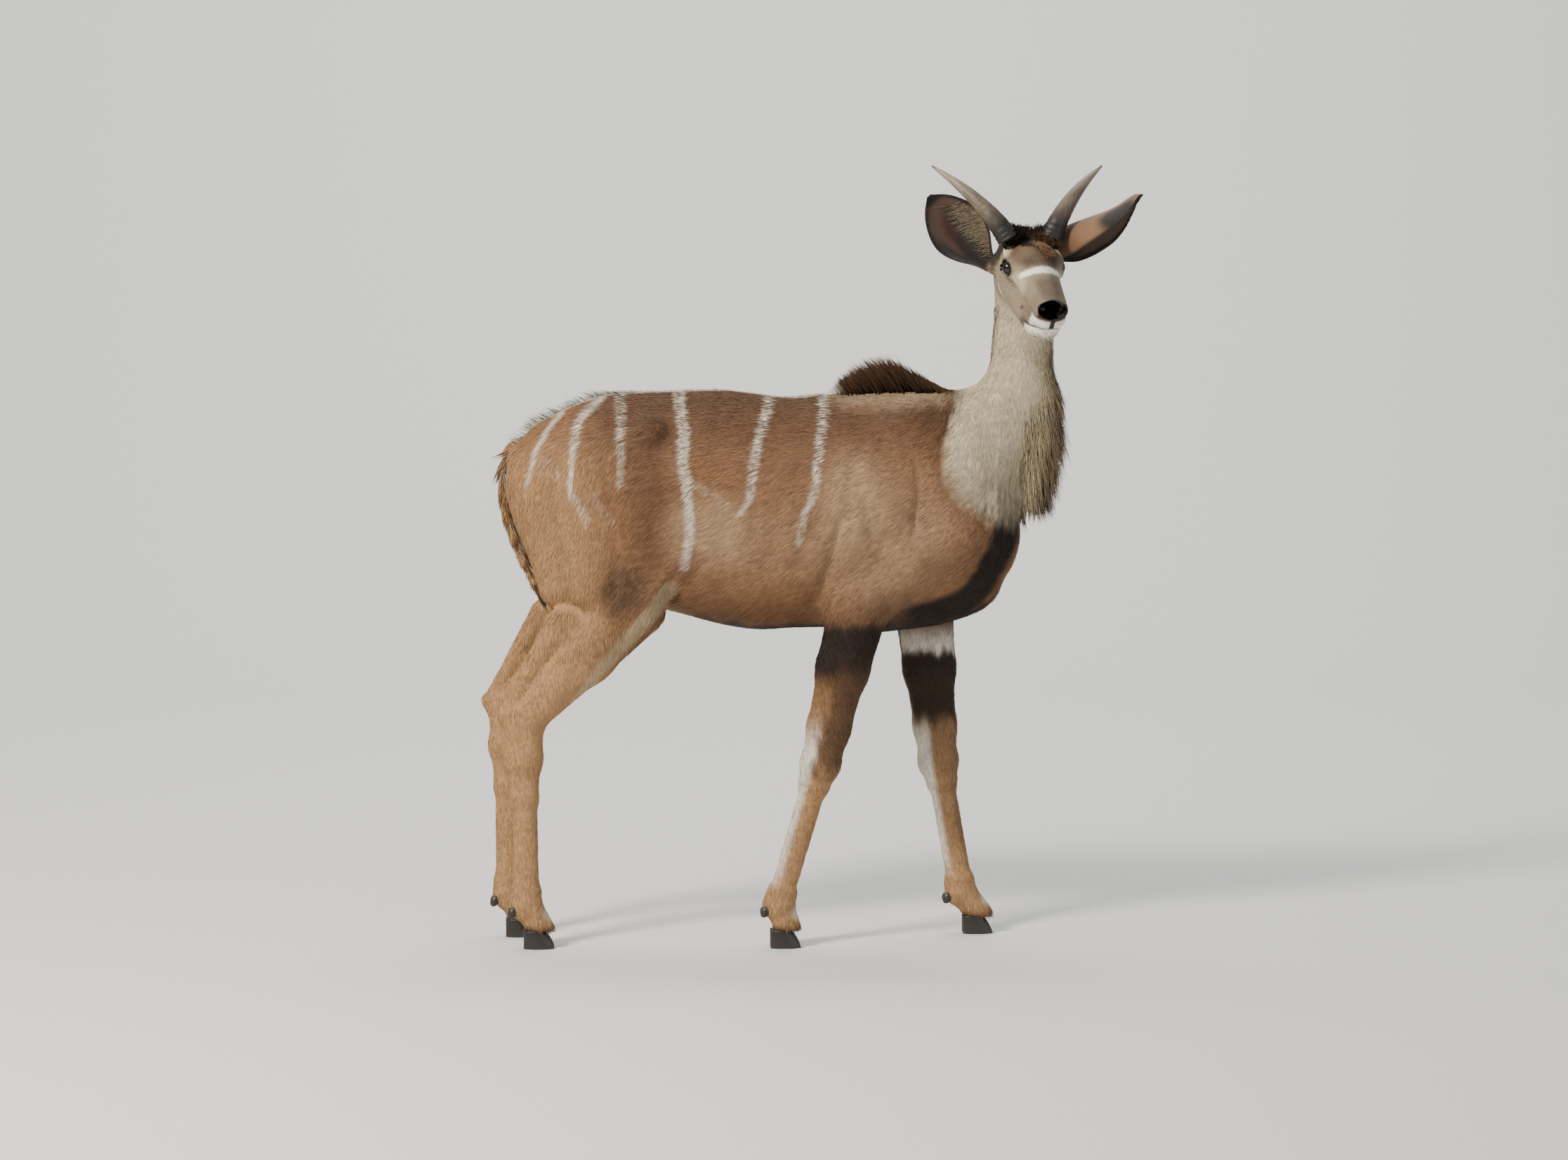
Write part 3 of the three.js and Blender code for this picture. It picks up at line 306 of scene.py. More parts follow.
def hindleg(side, joints, toe):
    hip, stifle, hock, fetlock = (vector(*joint) for joint in joints)
    along = lambda t: mix(stifle, hock, t)
    cannon = lambda t: mix(hock, fetlock, t)
    shift = lambda dx, dy, dz: vector(hip[0] + dx, side * dy, hip[2] + dz)
    coronet = vector(toe[0] - 30, toe[1], CORONET_Z)
    heel = hock + (-38, 0, 16)
    return [
        bulge(shift(0, 72, 40), (145, 82, 130), 40),
        muscle(shift(-90, 70, 0), stifle + (-78, side * -14, 40), 92, 84, 1.35, 35),
        muscle(shift(70, 78, -5), stifle + (-2, side * -4, 22), 74, 60, 1.35, 35),
        muscle(shift(-128, 56, 0), shift(-70, 70, -215), 60, 56, 1.25, 35),
        bulge(shift(-140, 42, 55), (48, 36, 44), 30),
        bulge(shift(118, 102, 122), (44, 30, 30), 30),
        muscle(stifle + (-14, 0, -12), along(0.45), 76, 62, 1.45, 30),
        muscle(along(0.45), along(0.93), 62, 43, 1.4, 24),
        muscle(along(0.4) + (-62, side * -4, 44), heel, 50, 18, 1.7, 24),
        muscle(hock + (6, 0, 14), cannon(0.2), 43, 42, 1.3, 18),
        muscle(heel, cannon(0.14), 17, 22, 1.1, 16),
        muscle(cannon(0.2), cannon(0.42), 40, 30, 1.3, 16),
        muscle(cannon(0.42), cannon(0.86), 29, 29, 1.2, 16),
        muscle(cannon(0.94), fetlock + (-2, 0, -4), 35, 35, 1.2, 14),
        muscle(fetlock + (4, 0, -6), coronet, 31, 32, 1.12, 12),
    ]


NECK_MUSCLES = [
    muscle((470, 0, 1060), (596, -2, 1190), 128, 84, 1.32, 50),
    muscle((596, -2, 1190), (606, -3, 1320), 80, 63, 1.24, 30),
    muscle((606, -3, 1320), (599, 2, 1488), 63, 58, 1.15, 20),
    muscle((640, 0, 1110), (626, 0, 985), 46, 34, 1.3, 40),
    bulge((520, 0, 900), (84, 92, 120), 40),
    muscle((300, 0, 742), (498, 0, 782), 50, 50, 1, 40),
]
HEAD_MUSCLES = [
    head_bulge((62, 0, -2), (66, 54, 46)),
    head_bulge((128, 0, 14), (66, 57, 38)),
    head_muscle((130, 0, 2), (284, 0, -8), 45, 29, 1.14, 20),
    head_bulge((288, 0, -8), (25, 38, 26), 10),
    head_bulge((282, 0, -32), (27, 38, 22), 10),
    head_bulge((266, 0, -60), (30, 31, 28), 10),
    head_bulge((16, 0, -18), (42, 42, 34)),
]
# Ears: side, root and tip, the way the mouth opens, breadth, curl, how far it bows, and
# where along it the bow is fullest
EARS = {"ear_right": (-1, (60, -70, -42), (-134, 60, 155), (-0.05, -0.98, 0.0), 0.9, 1, 20, 1),
        "ear_left": (1, (60, 58, -20), (211, 24, 133), (0.53, -0.26, -0.8), 1.12, 1.18, 52, 1.4)}
for side in (-1, 1):
    HEAD_MUSCLES += [
        head_bulge((132, side * 48, 4), (32, 24, 26), 10),
        head_muscle((150, side * 24, -6), (262, side * 15, -10), 27, 26, 1, 14),
        head_muscle((92, side * 30, -62), (250, side * 20, -66), 35, 25, 1.15, 14),
        head_bulge((98, side * 34, -34), (54, 28, 52), 16),
        head_muscle((66, side * 26, 18), (66, side * 46, 42), 27, 21, 1, 12),
    ]
for side, root, *_ in EARS.values():
    HEAD_MUSCLES.append(head_muscle((60, side * 34, -16), (root[0], root[1] - side * 6, root[2] + 4),
                                    28, 20, 1, 14))
TAIL_PATH = np.array([
    (-486, 0, 1096), (-514, 0, 1080), (-529, 0, 1045), (-530, 0, 990), (-522, 0, 940),
    (-506, 0, 890), (-484, 0, 840), (-462, 0, 795), (-440, 0, 752)], float)
TAIL_CLEFT = [muscle(TAIL_PATH[i], TAIL_PATH[i + 1], 23, 23, 0.8, 24) for i in range(2, 7)]
TAIL_CORE = [muscle(TAIL_PATH[i], TAIL_PATH[i + 1], 9 + 2 * min(i, 3) - i, 10 + i - max(0, i - 4),
                    0.62, 6) for i in range(7)]
BODY_PARTS = [(trunk, 30), *NECK_MUSCLES]
for name, (side, joints, toe) in LEGS.items():
    BODY_PARTS += foreleg(side, joints, toe) if name.startswith("fore") else hindleg(side, joints, toe)


def joined(body, near, blend):
    overlap = np.maximum(blend - np.abs(body - near), 0)
    return np.minimum(body, near) - overlap * overlap / (4 * blend)


def carved(body, tool, blend):
    overlap = np.maximum(blend - np.abs(body + tool), 0)
    return np.maximum(body, -tool) + overlap * overlap / (4 * blend)


def in_head(p):
    return (p - HEAD_ORIGIN) @ HEAD_AXES.T


# Facial features: lids, brows, tear ducts, nostrils, the split of the upper lip and the
# line of the mouth, all kept within a few millimetres of the head's own surface.
NOSTRIL = [((311, 10, -5), (303, 20, 4), 5.2, 6.4), ((303, 20, 4), (291, 30, 0), 5.4, 2.6)]
LIP_LEVEL = [(200, -58), (236, -60), (268, -57), (292, -49), (312, -44)]


def nostril(side):
    hollows = []
    for a, b, ra, rb in NOSTRIL:
        a, b = head_point(a[0], side * a[1], a[2]), head_point(b[0], side * b[1], b[2])
        hollows.append(muscle(a, b, ra, rb)[0])
    return hollows


def features(p, body):
    s, l, t = in_head(p).T
    for side in (-1, 1):
        body = joined(body, head_bulge((108, side * 54, 20), (24, 9, 7), 8)[0](p), 10)
        body = joined(body, head_muscle((266, side * 27, -43), (294, side * 13, -38), 8, 10)[0](p), 9)
        body = joined(body, head_bulge((297, side * 21, 0), (15, 11, 13), 5)[0](p), 5)
        centre = eye_centre(side)
        forward, upward, out = eye_axes(side)
        q = p - centre
        near = np.sqrt((q * q).sum(1))
        body = joined(body, near - EYE_RADIUS - 3.2, 7)
        along, up, deep = q @ forward, q @ upward, q @ out
        almond = np.maximum(np.hypot(along, up * 1.16 + 0.007 * along ** 2) - 16.5, 2 - deep)
        body = carved(body, almond, 2.0)
        body = carved(body, near - EYE_RADIUS - 0.2, 0.5)
        duct = muscle(centre + forward * 17 + out * 8, centre + forward * 26 + out * 1, 2.2, 1.4)
        body = carved(body, duct[0](p), 3)
        for hollow in nostril(side):
            body = carved(body, hollow(p), 2.5)
    shell = -(body + 4.5)
    lips = station(LIP_LEVEL, s)[:, 0]
    slit = np.maximum(np.maximum(np.abs(t - lips) - 0.9, shell), 236 - s)
    body = np.where(s > 190, carved(body, slit, 2), body)
    split = np.maximum(np.maximum(np.abs(l) - 0.7, shell), np.maximum(290 - s, t + 8))
    return np.where((s > 280) & (t > lips - 2), carved(body, split, 2.2), body)


# Below HEAD_FROM_Z the head's muscles, and before TAIL_BEHIND_X the tail's, reach nothing
HEAD_FROM_Z = 1180
TAIL_BEHIND_X = -330


def flesh(p):
    body = np.full(len(p), 1e6)
    for distance, blend in BODY_PARTS:
        body = joined(body, distance(p), blend)
    near_head = p[:, 2] > HEAD_FROM_Z
    if near_head.any():
        part = body[near_head]
        for distance, blend in HEAD_MUSCLES:
            part = joined(part, distance(p[near_head]), blend)
        body[near_head] = part
    rear = p[:, 0] < TAIL_BEHIND_X
    if rear.any():
        part = body[rear]
        for distance, blend in TAIL_CLEFT:
            part = carved(part, distance(p[rear]), blend)
        for distance, blend in TAIL_CORE:
            part = joined(part, distance(p[rear]), blend)
        body[rear] = part
    return body


# The skin lies under the tips of the coat by the coat's depth, least on face and feet.
HEAD_CUT = (vector(600, -5, 1418), unit(vector(0.08, -0.7, 0.71)))


def head_share(p, soft=22):
    return ramp((p - HEAD_CUT[0]) @ HEAD_CUT[1], -soft, soft)


def leg_share(p):
    return 1 - ramp(p[:, 2], 330, 720)


def coat_depth(p):
    body = mix(4.2, 2.2, leg_share(p))
    return mix(body, 1.3, head_share(p))


# Muscles and folds that show under the coat, as lines on the side view: which side they
# are on (0 for both), the line, how far they stand out or in, and how wide they are
RELIEF = [
    (0, ((366, 1084), (376, 1032), (374, 970), (368, 924)), -8, 11),
    (0, ((268, 1060), (291, 1003), (340, 895), (376, 848)), 5, 19),
    (0, ((352, 886), (374, 858)), 4, 18),
    (0, ((262, 990), (270, 935), (276, 892)), -4, 13),
    (0, ((266, 1110), (232, 1040), (222, 955)), -4.5, 15),
    (0, ((206, 940), (184, 852), (152, 770)), -7, 12),
    (0, ((262, 960), (232, 870), (205, 800)), 4, 24),
    (0, ((300, 900), (285, 840), (262, 790)), -3, 12),
    (0, ((152, 930), (126, 885), (112, 840)), -4.5, 18),
    (0, ((84, 985), (62, 900), (40, 830)), -1.8, 11),
    (0, ((34, 975), (10, 890), (-14, 820)), -1.6, 11),
    (0, ((-150, 1120), (-176, 1040), (-168, 940)), -6, 40),
    (0, ((-112, 880), (-160, 838), (-216, 762)), 5, 13),
    (0, ((-84, 850), (-134, 800), (-186, 742)), -4.5, 12),
    (0, ((-196, 1050), (-222, 960), (-214, 880)), 4, 26),
    (0, ((-305, 1085), (-286, 970), (-272, 870), (-292, 780)), -4.5, 14),
    (0, ((-250, 850), (-236, 800), (-262, 752)), -3.5, 10),
    (0, ((-420, 1040), (-404, 940), (-372, 850)), -4, 15),
    (0, ((446, 1160), (427, 1092), (429, 1032), (444, 993), (472, 964), (515, 932)), -7, 12),
    (-1, ((-412, 660), (-452, 606), (-492, 536)), -8, 13),
    (1, ((-450, 668), (-490, 612), (-530, 545)), -8, 13),
    (-1, ((212, 715), (204, 640), (184, 560)), -3, 10),
    (1, ((398, 700), (404, 620), (410, 540)), -3, 10),
]


def relief(p):
    rise = np.zeros(len(p))
    x, y, z = p.T
    for side, line, height, width in RELIEF:
        spread = np.array(line)
        low, high = spread.min(0) - 3 * width, spread.max(0) + 3 * width
        near = (x > low[0]) & (x < high[0]) & (z > low[1]) & (z < high[1])
        far = along_line(x[near], z[near], line) / width
        flank = ramp(np.abs(y[near]), 30, 60)
        if side:
            flank = flank * ramp(side * y[near], 30, 60)
        rise[near] += height * np.exp(-far * far) * flank
    return rise


def skin_field(p):
    body = flesh(p) + coat_depth(p) - relief(p)
    face = head_share(p) > 0.3
    if face.any():
        body[face] = features(p[face], body[face])
    return np.maximum(body, CORONET_Z - 2 - p[:, 2])


def gradient(p, field, step=0.8):
    slope = np.empty_like(p)
    for axis in range(3):
        shift = np.zeros(3)
        shift[axis] = step
        slope[:, axis] = (field(p + shift) - field(p - shift)) / (2 * step)
    return slope


def settle(p, field, rounds, stride=4.0):
    for _ in range(rounds):
        rise = gradient(p, field)
        steep = np.maximum((rise * rise).sum(1), 0.2)
        pull = np.clip(field(p) / steep, -stride, stride)
        p = p - rise * pull[:, None]
    return p


def net(field, low, high, cell):
    size = np.ceil((np.array(high) - low) / cell).astype(int) + 1
    lines = [low[axis] + cell * np.arange(size[axis]) for axis in range(3)]
    values = np.empty(size)
    for i in range(size[0]):
        plane = np.stack(np.meshgrid(lines[0][i:i + 1], lines[1], lines[2], indexing="ij"), -1)
        values[i] = field(plane.reshape(-1, 3)).reshape(size[1:])
    total = np.zeros((values.size, 3))
    hits = np.zeros(values.size)
    flat = vector(size[1] * size[2], size[2], 1).astype(int)
    quads = []
    for axis in range(3):
        u, v = (axis + 1) % 3, (axis + 2) % 3
        first = np.take(values, np.arange(size[axis] - 1), axis)
        second = np.take(values, np.arange(1, size[axis]), axis)
        where = np.argwhere((first < 0) != (second < 0))
        a, b = first[tuple(where.T)], second[tuple(where.T)]
        point = where.astype(float)
        point[:, axis] += a / (a - b)
        ring = []
        for du, dv in ((0, 0), (1, 0), (1, 1), (0, 1)):
            cell_at = where @ flat - du * flat[u] - dv * flat[v]
            np.add.at(total, cell_at, point)
            np.add.at(hits, cell_at, 1)
            ring.append(cell_at)
        ring = np.stack(ring, 1)
        quads.append(np.where((a < 0)[:, None], ring, ring[:, ::-1]))
    used = np.flatnonzero(hits)
    number = np.full(values.size, -1)
    number[used] = np.arange(len(used))
    points = np.array(low) + cell * total[used] / hits[used, None]
    return points, number[np.concatenate(quads)]


# The net's cells are 9 mm wide; the head and the lower legs are refined once, the head
# twice, and the eyes, the nose and the mouth once more, before all of it settles.
NET_LOW, NET_HIGH = (-640, -240, 20), (800, 240, 1620)
NET_CELL = 9.0


def skin_mesh():
    points, quads = net(skin_field, NET_LOW, NET_HIGH, NET_CELL)
    base = bpy.data.meshes.new("net")
    base.from_pydata(points.tolist(), [], quads.tolist())
    grid = bmesh.new()
    grid.from_mesh(base)

    def refine(wanted):
        grid.verts.ensure_lookup_table()
        place = np.array([v.co for v in grid.verts])
        chosen = wanted(place)
        edges = [e for e in grid.edges if chosen[e.verts[0].index] and chosen[e.verts[1].index]]
        bmesh.ops.subdivide_edges(grid, edges=edges, cuts=1, use_grid_fill=True)
        grid.verts.index_update()

    def feature_area(p):
        s, _, t = in_head(p).T
        eye = [np.linalg.norm(p - eye_centre(side), axis=1) < 33 for side in (-1, 1)]
        return ((s > 272) & (t < 26)) | eye[0] | eye[1] | ((s > 205) & (np.abs(t + 34) < 9))

    refine(lambda p: (head_share(p) > 0.4) | (p[:, 2] < 420))
    refine(lambda p: head_share(p) > 0.6)
    refine(lambda p: (head_share(p) > 0.6) & feature_area(p))
    bmesh.ops.triangulate(grid, faces=grid.faces[:])
    points = np.array([v.co for v in grid.verts])
    faces = np.array([[v.index for v in f.verts] for f in grid.faces])
    grid.free()
    bpy.data.meshes.remove(base)
    return settle(points, skin_field, 5), faces


# Markings. Stripes are lines on the side view, the same on both sides but for a sway.
STRIPES = [
    (((-388, 1190), (-456, 1092), (-476, 1015)), 8, 0.75),
    (((-317, 1200), (-365, 1150), (-376, 1089), (-384, 1035), (-379, 997), (-346, 934)), 8, 0.85),
    (((-452, 1073), (-399, 1030)), 6, 0.4),
    (((-335, 992), (-293, 934)), 6, 0.35),
    (((-273, 1200), (-275, 1100), (-273, 1012)), 7, 0.7),
    (((-148, 1215), (-139, 1133), (-138, 1064), (-131, 1005), (-124, 928), (-136, 831)), 10, 1.0),
    (((55, 1210), (28, 1124), (11, 1053), (6, 997), (-18, 948)), 8, 0.9),
    (((168, 1212), (165, 1147), (150, 1066), (144, 1002), (115, 928), (111, 890)), 8, 0.8),
    (((-119, 1020), (-42, 968)), 6, 0.3),
]
WHITE = ink("#ded6c6")
FAWN = ink("#7c5a40")
RUST = ink("#825a38")
GREY = ink("#997e62")
TAN = ink("#a9825a")
DARK = ink("#241a14")
BROWN = ink("#4a3323")
PALE = ink("#ae9877")
CREAM = ink("#f2ebdd")
HORN_DARK = ink("#2b2520")


def paint(colours, share, colour):
    share = np.asarray(share)[:, None]
    return colours + (colour - colours) * share


def spot(q, centre, radii, soft=0.5):
    far = np.sqrt((((q - centre) / radii) ** 2).sum(1))
    return 1 - ramp(far, 1 - soft, 1 + soft)


# The body's colours, laid one over the other: fawn, brown on the back, painted shade in the
# flank hollow, grey on the shoulder, painted highlights on the side, ribs and flank, tan on
# the haunch and legs, painted shade in the stifle fold, pale inside the thigh, the dark line
# under the chest, partly painted shade, then the stripes, the pale neck and the white line
# of the back.
def coat_colour(p):
    x, y, z = p.T
    left = ramp(y, -5, 5)
    colours = np.tile(FAWN, (len(p), 1))
    colours = paint(colours, 0.5 * ramp(wave(p, 260, 3), -1, 1), RUST)
    colours = paint(colours, 0.8 * ramp(z, 1000, 1205) * ramp(x, -430, -260), BROWN)
    # Painted shade: a brown spot darkens the hollow of the flank in front of the hip
    colours = paint(colours, 0.4 * (1 - ramp(np.hypot(x + 205, (z - 960) * 0.5), 20, 110)), BROWN)
    shoulder = 1 - ramp(np.hypot((x - 290) * 0.9, z - 900), 60, 230)
    colours = paint(colours, 0.55 * shoulder, GREY)
    side_light = 1 - ramp(np.hypot(x - 30, (z - 880) * 1.3), 40, 190)
    colours = paint(colours, 0.35 * side_light, GREY)
    # Painted highlights: lighter patches where light falls on the bulge of the ribs and on the flank
    rib_highlight = 1 - ramp(np.hypot(x - 225, (z - 985) * 0.7), 30, 105)
    flank_highlight = 1 - ramp(np.hypot((x + 85) * 0.8, z - 915), 30, 110)
    colours = paint(colours, 0.55 * np.maximum(rib_highlight, flank_highlight), ink("#a98c6c"))
    colours = paint(colours, 0.85 * ramp(-x, 230, 400) * (1 - ramp(z, 1000, 1180)), TAN)
    # Painted shade in the fold between the thigh and the belly, at the stifle
    stifle = spot(p * (1, 0, 1), (-272, 0, 785), (46, 1, 62))
    colours = paint(colours, 0.8 * stifle, ink("#4a3727"))
    legs = leg_share(p)
    colours = paint(colours, 0.9 * legs, TAN)
    belly = ramp(-z, -790, -700) * ramp(x, -210, -60) * (1 - legs)
    colours = paint(colours, 0.6 * belly, BROWN)
    groin = ramp(-z, -790, -700) * ramp(x, -330, -240) * (1 - ramp(x, -170, -90)) * (1 - legs)
    colours = paint(colours, 0.7 * groin * ramp(80 - np.abs(y), 0, 40), PALE)
    wobble = 5 * wave(p, 40, 12)
    middle = ramp(x, -150, 20) * (1 - ramp(np.abs(y) + wobble, 30, 62)) * ramp(-z, -790, -722)
    # The dark line down the front of the chest is partly a dark marking and partly painted shade below the
    # throat fringe
    chest_line_and_shade = along_line(x + wobble, z, ((334, 706), (404, 727), (463, 748), (507, 782), (533, 831),
                                       (557, 880), (572, 930)))
    chest_line_and_shade = (1 - ramp(chest_line_and_shade, 22, 40)) * (1 - ramp(np.abs(y), 95, 130)) * ramp(x, 300, 370)
    bottom = station(TRUNK, np.clip(x, -500, 545))[:, 1]
    line = (1 - ramp(z - bottom + wobble, 8, 26)) * ramp(x, -150, -20) * (1 - ramp(x, 300, 360))
    middle = np.maximum(middle, line)
    colours = paint(colours, np.maximum(middle, chest_line_and_shade) * ramp(z, 560, 620), DARK)
    thigh = along_line(x, z, ((-168, 786), (-250, 688), (-330, 600), (-388, 522)))
    colours = paint(colours, 0.8 * (1 - ramp(thigh - 0.04 * (z - 520), 4, 13)), PALE)
    for line, width, strength in STRIPES:
        sway = left * 14 * np.sin(z / 60 + line[0][0])
        near = along_line(x + sway + 2 * wave(p, 60, 8), z, line)
        fade = strength * (0.65 + 0.35 * ramp(z, line[-1][1], line[-1][1] + 110))
        colours = paint(colours, fade * (1 - ramp(near, width * 0.3, width * 0.75)), WHITE)
    withers = ramp(z + 4 * wave(p, 40, 16), 1158, 1208) * ramp(x, 150, 240) * (1 - ramp(x, 400, 470))
    colours = paint(colours, 0.62 * withers, PALE)
    edge = np.interp(z, [929, 964, 993, 1032, 1092, 1155, 1230], [521, 472, 444, 429, 427, 443, 470])
    streak = wave(p * (1, 1, 0.25), 16, 14)
    neck = ramp(x - edge + 9 * streak + 5 * wave(p, 50, 18), -16, 30) * ramp(z + 12 * streak, 900, 965)
    colours = paint(colours, 0.92 * neck, ink("#c9ba9d"))
    colours = paint(colours, neck * (1 - ramp(z, 960, 1090)) * (0.36 + 0.25 * streak), BROWN)
    colours = paint(colours, 0.25 * neck * ramp(x, 630, 680) * ramp(-z, -1400, -1100), BROWN)
    back = (1 - ramp(np.abs(y), 6, 17)) * ramp(z, 1090, 1160) * (1 - ramp(x, 150, 200))
    colours = paint(colours, 0.85 * back, WHITE)
    return face_colour(p, leg_colour(p, colours))


# The forelegs have a white and a dark band on their inner side, a dark knee and a white
# rear; the hind legs are white inside. Every foot is pale above and dark round its hooves.
def leg_colour(p, colours):
    x, y, z = p.T
    for name, (side, joints, toe) in LEGS.items():
        hock = joints[2]
        near = (1 - ramp(np.abs(y - hock[1]), 50, 70)) * (1 - ramp(z, 640, 700))
        inside = ramp(-side * (y - hock[1]), 0, 14)
        if name.startswith("fore"):
            axis = np.interp(z, [98, joints[2][2], joints[1][2]],
                             [joints[3][0], joints[2][0], joints[1][0]])
            near = near * (1 - ramp(np.abs(x - axis), 80, 110))
            rear = ramp(axis - x, 6, 24)
            white = rear * (1 - ramp(z, 420, 520)) * ramp(z, 120, 180)
            colours = paint(colours, 0.85 * near * white, WHITE)
            ragged = 7 * wave(p * (1, 1, 0.4), 18, 33)
            band = ramp(z + ragged, 622, 640) * (1 - ramp(z, 690, 720)) * inside
            dark = ramp(z + ragged, 452, 500) * (1 - ramp(z + ragged, 620, 638)) * inside
            knee = ramp(z + 2 * ragged, 350, 415) * (1 - ramp(z + 2 * ragged, 570, 660))
            knee = knee * ramp(x - axis + ragged, -30, -4)
            colours = paint(colours, 0.85 * near * band, WHITE)
            colours = paint(colours, 0.95 * near * dark, DARK)
            colours = paint(colours, 0.8 * near * knee * (1 - inside), ink("#4a3424"))
            # Painted shade: the lower inner side of each foreleg is darkened brown
            lower = ramp(z, 150, 230) * (1 - ramp(z, 440, 500)) * inside * (1 - rear)
            colours = paint(colours, 0.45 * near * lower, ink("#4f3b2a"))
        else:
            near = near * (1 - ramp(np.abs(x - np.interp(z, [98, 497, 765], [-490, -490, -240])),
                                    90, 130))
            axis = np.interp(z, [98, 497, 765], [-490, -500, -260])
            white = inside * ramp(z, 470, 600) * ramp(x - axis, 0, 26)
            colours = paint(colours, 0.6 * near * white, WHITE)
        pastern = spot(p, (toe[0] - 8, toe[1], 74), (22, 22, 14))
        colours = paint(colours, 0.7 * pastern, WHITE)
        hoof_edge = (1 - ramp(z, 44, 56)) * (1 - ramp(np.hypot(x - toe[0] + 34, y - toe[1]), 60, 80))
        colours = paint(colours, 0.6 * hoof_edge, DARK)
    return colours


# The face is grey-brown, with a black crown, painted shade at the temples and on the nose
# bridge, dark lids, pale brows, the white bar between the eyes, white lips and chin, and a
# black nose with painted shade in its nostrils. The dark patches end in ragged edges.
def face_colour(p, colours):
    head = head_share(p)
    if not (head > 0).any():
        return colours
    q = in_head(p)
    s, l, t = q.T
    side = np.abs(l)
    face = np.tile(ink("#8b7c67"), (len(p), 1))
    face = paint(face, 0.85 * (1 - ramp(s, 160, 190)) * ramp(t, 16, 38), ink("#503f30"))
    # The dark brown of the nose bridge, partly its own colour and partly painted shade on the middle and
    # left of the bridge
    bridge_and_shade = ramp(t, 10, 22) * ramp(s, 196, 232) * ramp(l, -34, -16)
    face = paint(face, 0.65 * bridge_and_shade, ink("#46372b"))
    face = paint(face, 0.35 * ramp(s, 236, 276) * ramp(t, -30, -6), ink("#5a4a3b"))
    for way in (-1, 1):
        lit = spot(q, (184, way * 48, -6), (34, 26, 20))
        face = paint(face, 0.6 * lit, ink("#c4b79f"))
        face = paint(face, 0.55 * spot(q, (238, way * 36, -38), (28, 24, 22)), ink("#5f5142"))
    rough = 5 * wave(p, 22, 41)
    crown = ramp(t, 10, 26) * (1 - ramp(s + 0.8 * side + rough, 124, 146))
    # Painted shade: the temples by the ear roots are painted as dark as the crown
    temple_shade = ramp(t, -52, -34) * (1 - ramp(s + rough, 66, 88)) * ramp(side, 40, 52)
    face = paint(face, 0.93 * np.maximum(crown, temple_shade), ink("#1c1510"))
    face = paint(face, 0.85 * spot(q, (132, 18, 46), (44, 26, 34)), ink("#4d3827"))
    face = paint(face, 0.5 * spot(q, (132, -34, 44), (30, 20, 26)), ink("#6d563f"))
    bar = 195 - 0.0078 * side ** 2
    thick = 8.5 - 0.07 * side + 0.8 * wave(p, 24, 31)
    chevron = (1 - ramp(np.abs(s - bar), thick * 0.75, thick * 1.15)) * (1 - ramp(side, 44, 52))
    face = paint(face, chevron * ramp(t, 2, 12), CREAM)
    above = (1 - ramp(np.abs(s - bar + 19), 5, 12)) * ramp(t, 10, 20) * (1 - ramp(side, 26, 44))
    face = paint(face, 0.5 * above, ink("#33251b"))
    for way in (-1, 1):
        eye = in_head(eye_centre(way)[None])[0]
        brow = spot(q, (100, way * 58, 20), (24, 18, 11))
        face = paint(face, 0.85 * brow, ink("#ddd0b4"))
        face = paint(face, 0.6 * spot(q, (150, way * 58, 17), (24, 12, 7)), ink("#85745c"))
        front = eye + 11 * in_head(HEAD_ORIGIN + gaze(way)[None])[0]
        face = paint(face, 0.85 * spot(q, front + (-7, 0, 0), (29, 24, 19), 0.25), ink("#2c2018"))
        face = paint(face, 0.95 * spot(q, front, (21, 20, 17), 0.12), ink("#0e0907"))
        face = paint(face, 0.5 * spot(q, (160, way * 54, -6), (10, 9, 7)), ink("#b8aa90"))
        face = paint(face, 0.7 * spot(q, (211, way * 40, -48), (5, 9, 4)), DARK)
        patch = spot(q, (243, way * 36, -72), (20, 22, 17))
        face = paint(face, 0.8 * patch, ink("#45372a"))
        jaw = along_line(s, t, ((100, -60), (124, -80), (150, -89), (196, -91), (224, -88)))
        thick = mix(3, 8, ramp(s, 100, 190))
        jaw = (1 - ramp(jaw, thick * 0.4, thick * 1.4)) * ramp(side, 12, 26)
        face = paint(face, 0.75 * jaw * ramp(s, 84, 120), WHITE)
    lips = station(LIP_LEVEL, s)[:, 0]
    nose = ramp(s, 284, 293) * ramp(t, -23, -18) * (1 - ramp(side, 30, 36))
    nose = np.maximum(nose, ramp(s, 294, 300) * (1 - ramp(side, 4, 7)) * ramp(t, lips + 1, lips + 3))
    edge = 3 * wave(p, 16, 44)
    white_lip = ramp(s + edge, 258, 268) * (1 - ramp(t, -27, -21))
    chin = ramp(s + edge - 0.2 * (t + 60), 246, 258) * (1 - ramp(t, lips - 5, lips))
    face = paint(face, np.maximum(white_lip, chin) * 0.97, CREAM)
    mouth = (1 - ramp(np.abs(t - lips), 1.2, 3.0)) * ramp(s, 240, 250)
    face = paint(face, 0.9 * mouth, DARK)
    face = paint(face, 0.97 * nose, ink("#2a2421"))
    # Painted shade: the nostril hollows are painted near-black
    for way in (-1, 1):
        for hollow in nostril(way):
            face = paint(face, 1 - ramp(hollow(p), -1, 1.5), ink("#060404"))
    return mix(colours, face, head[:, None])


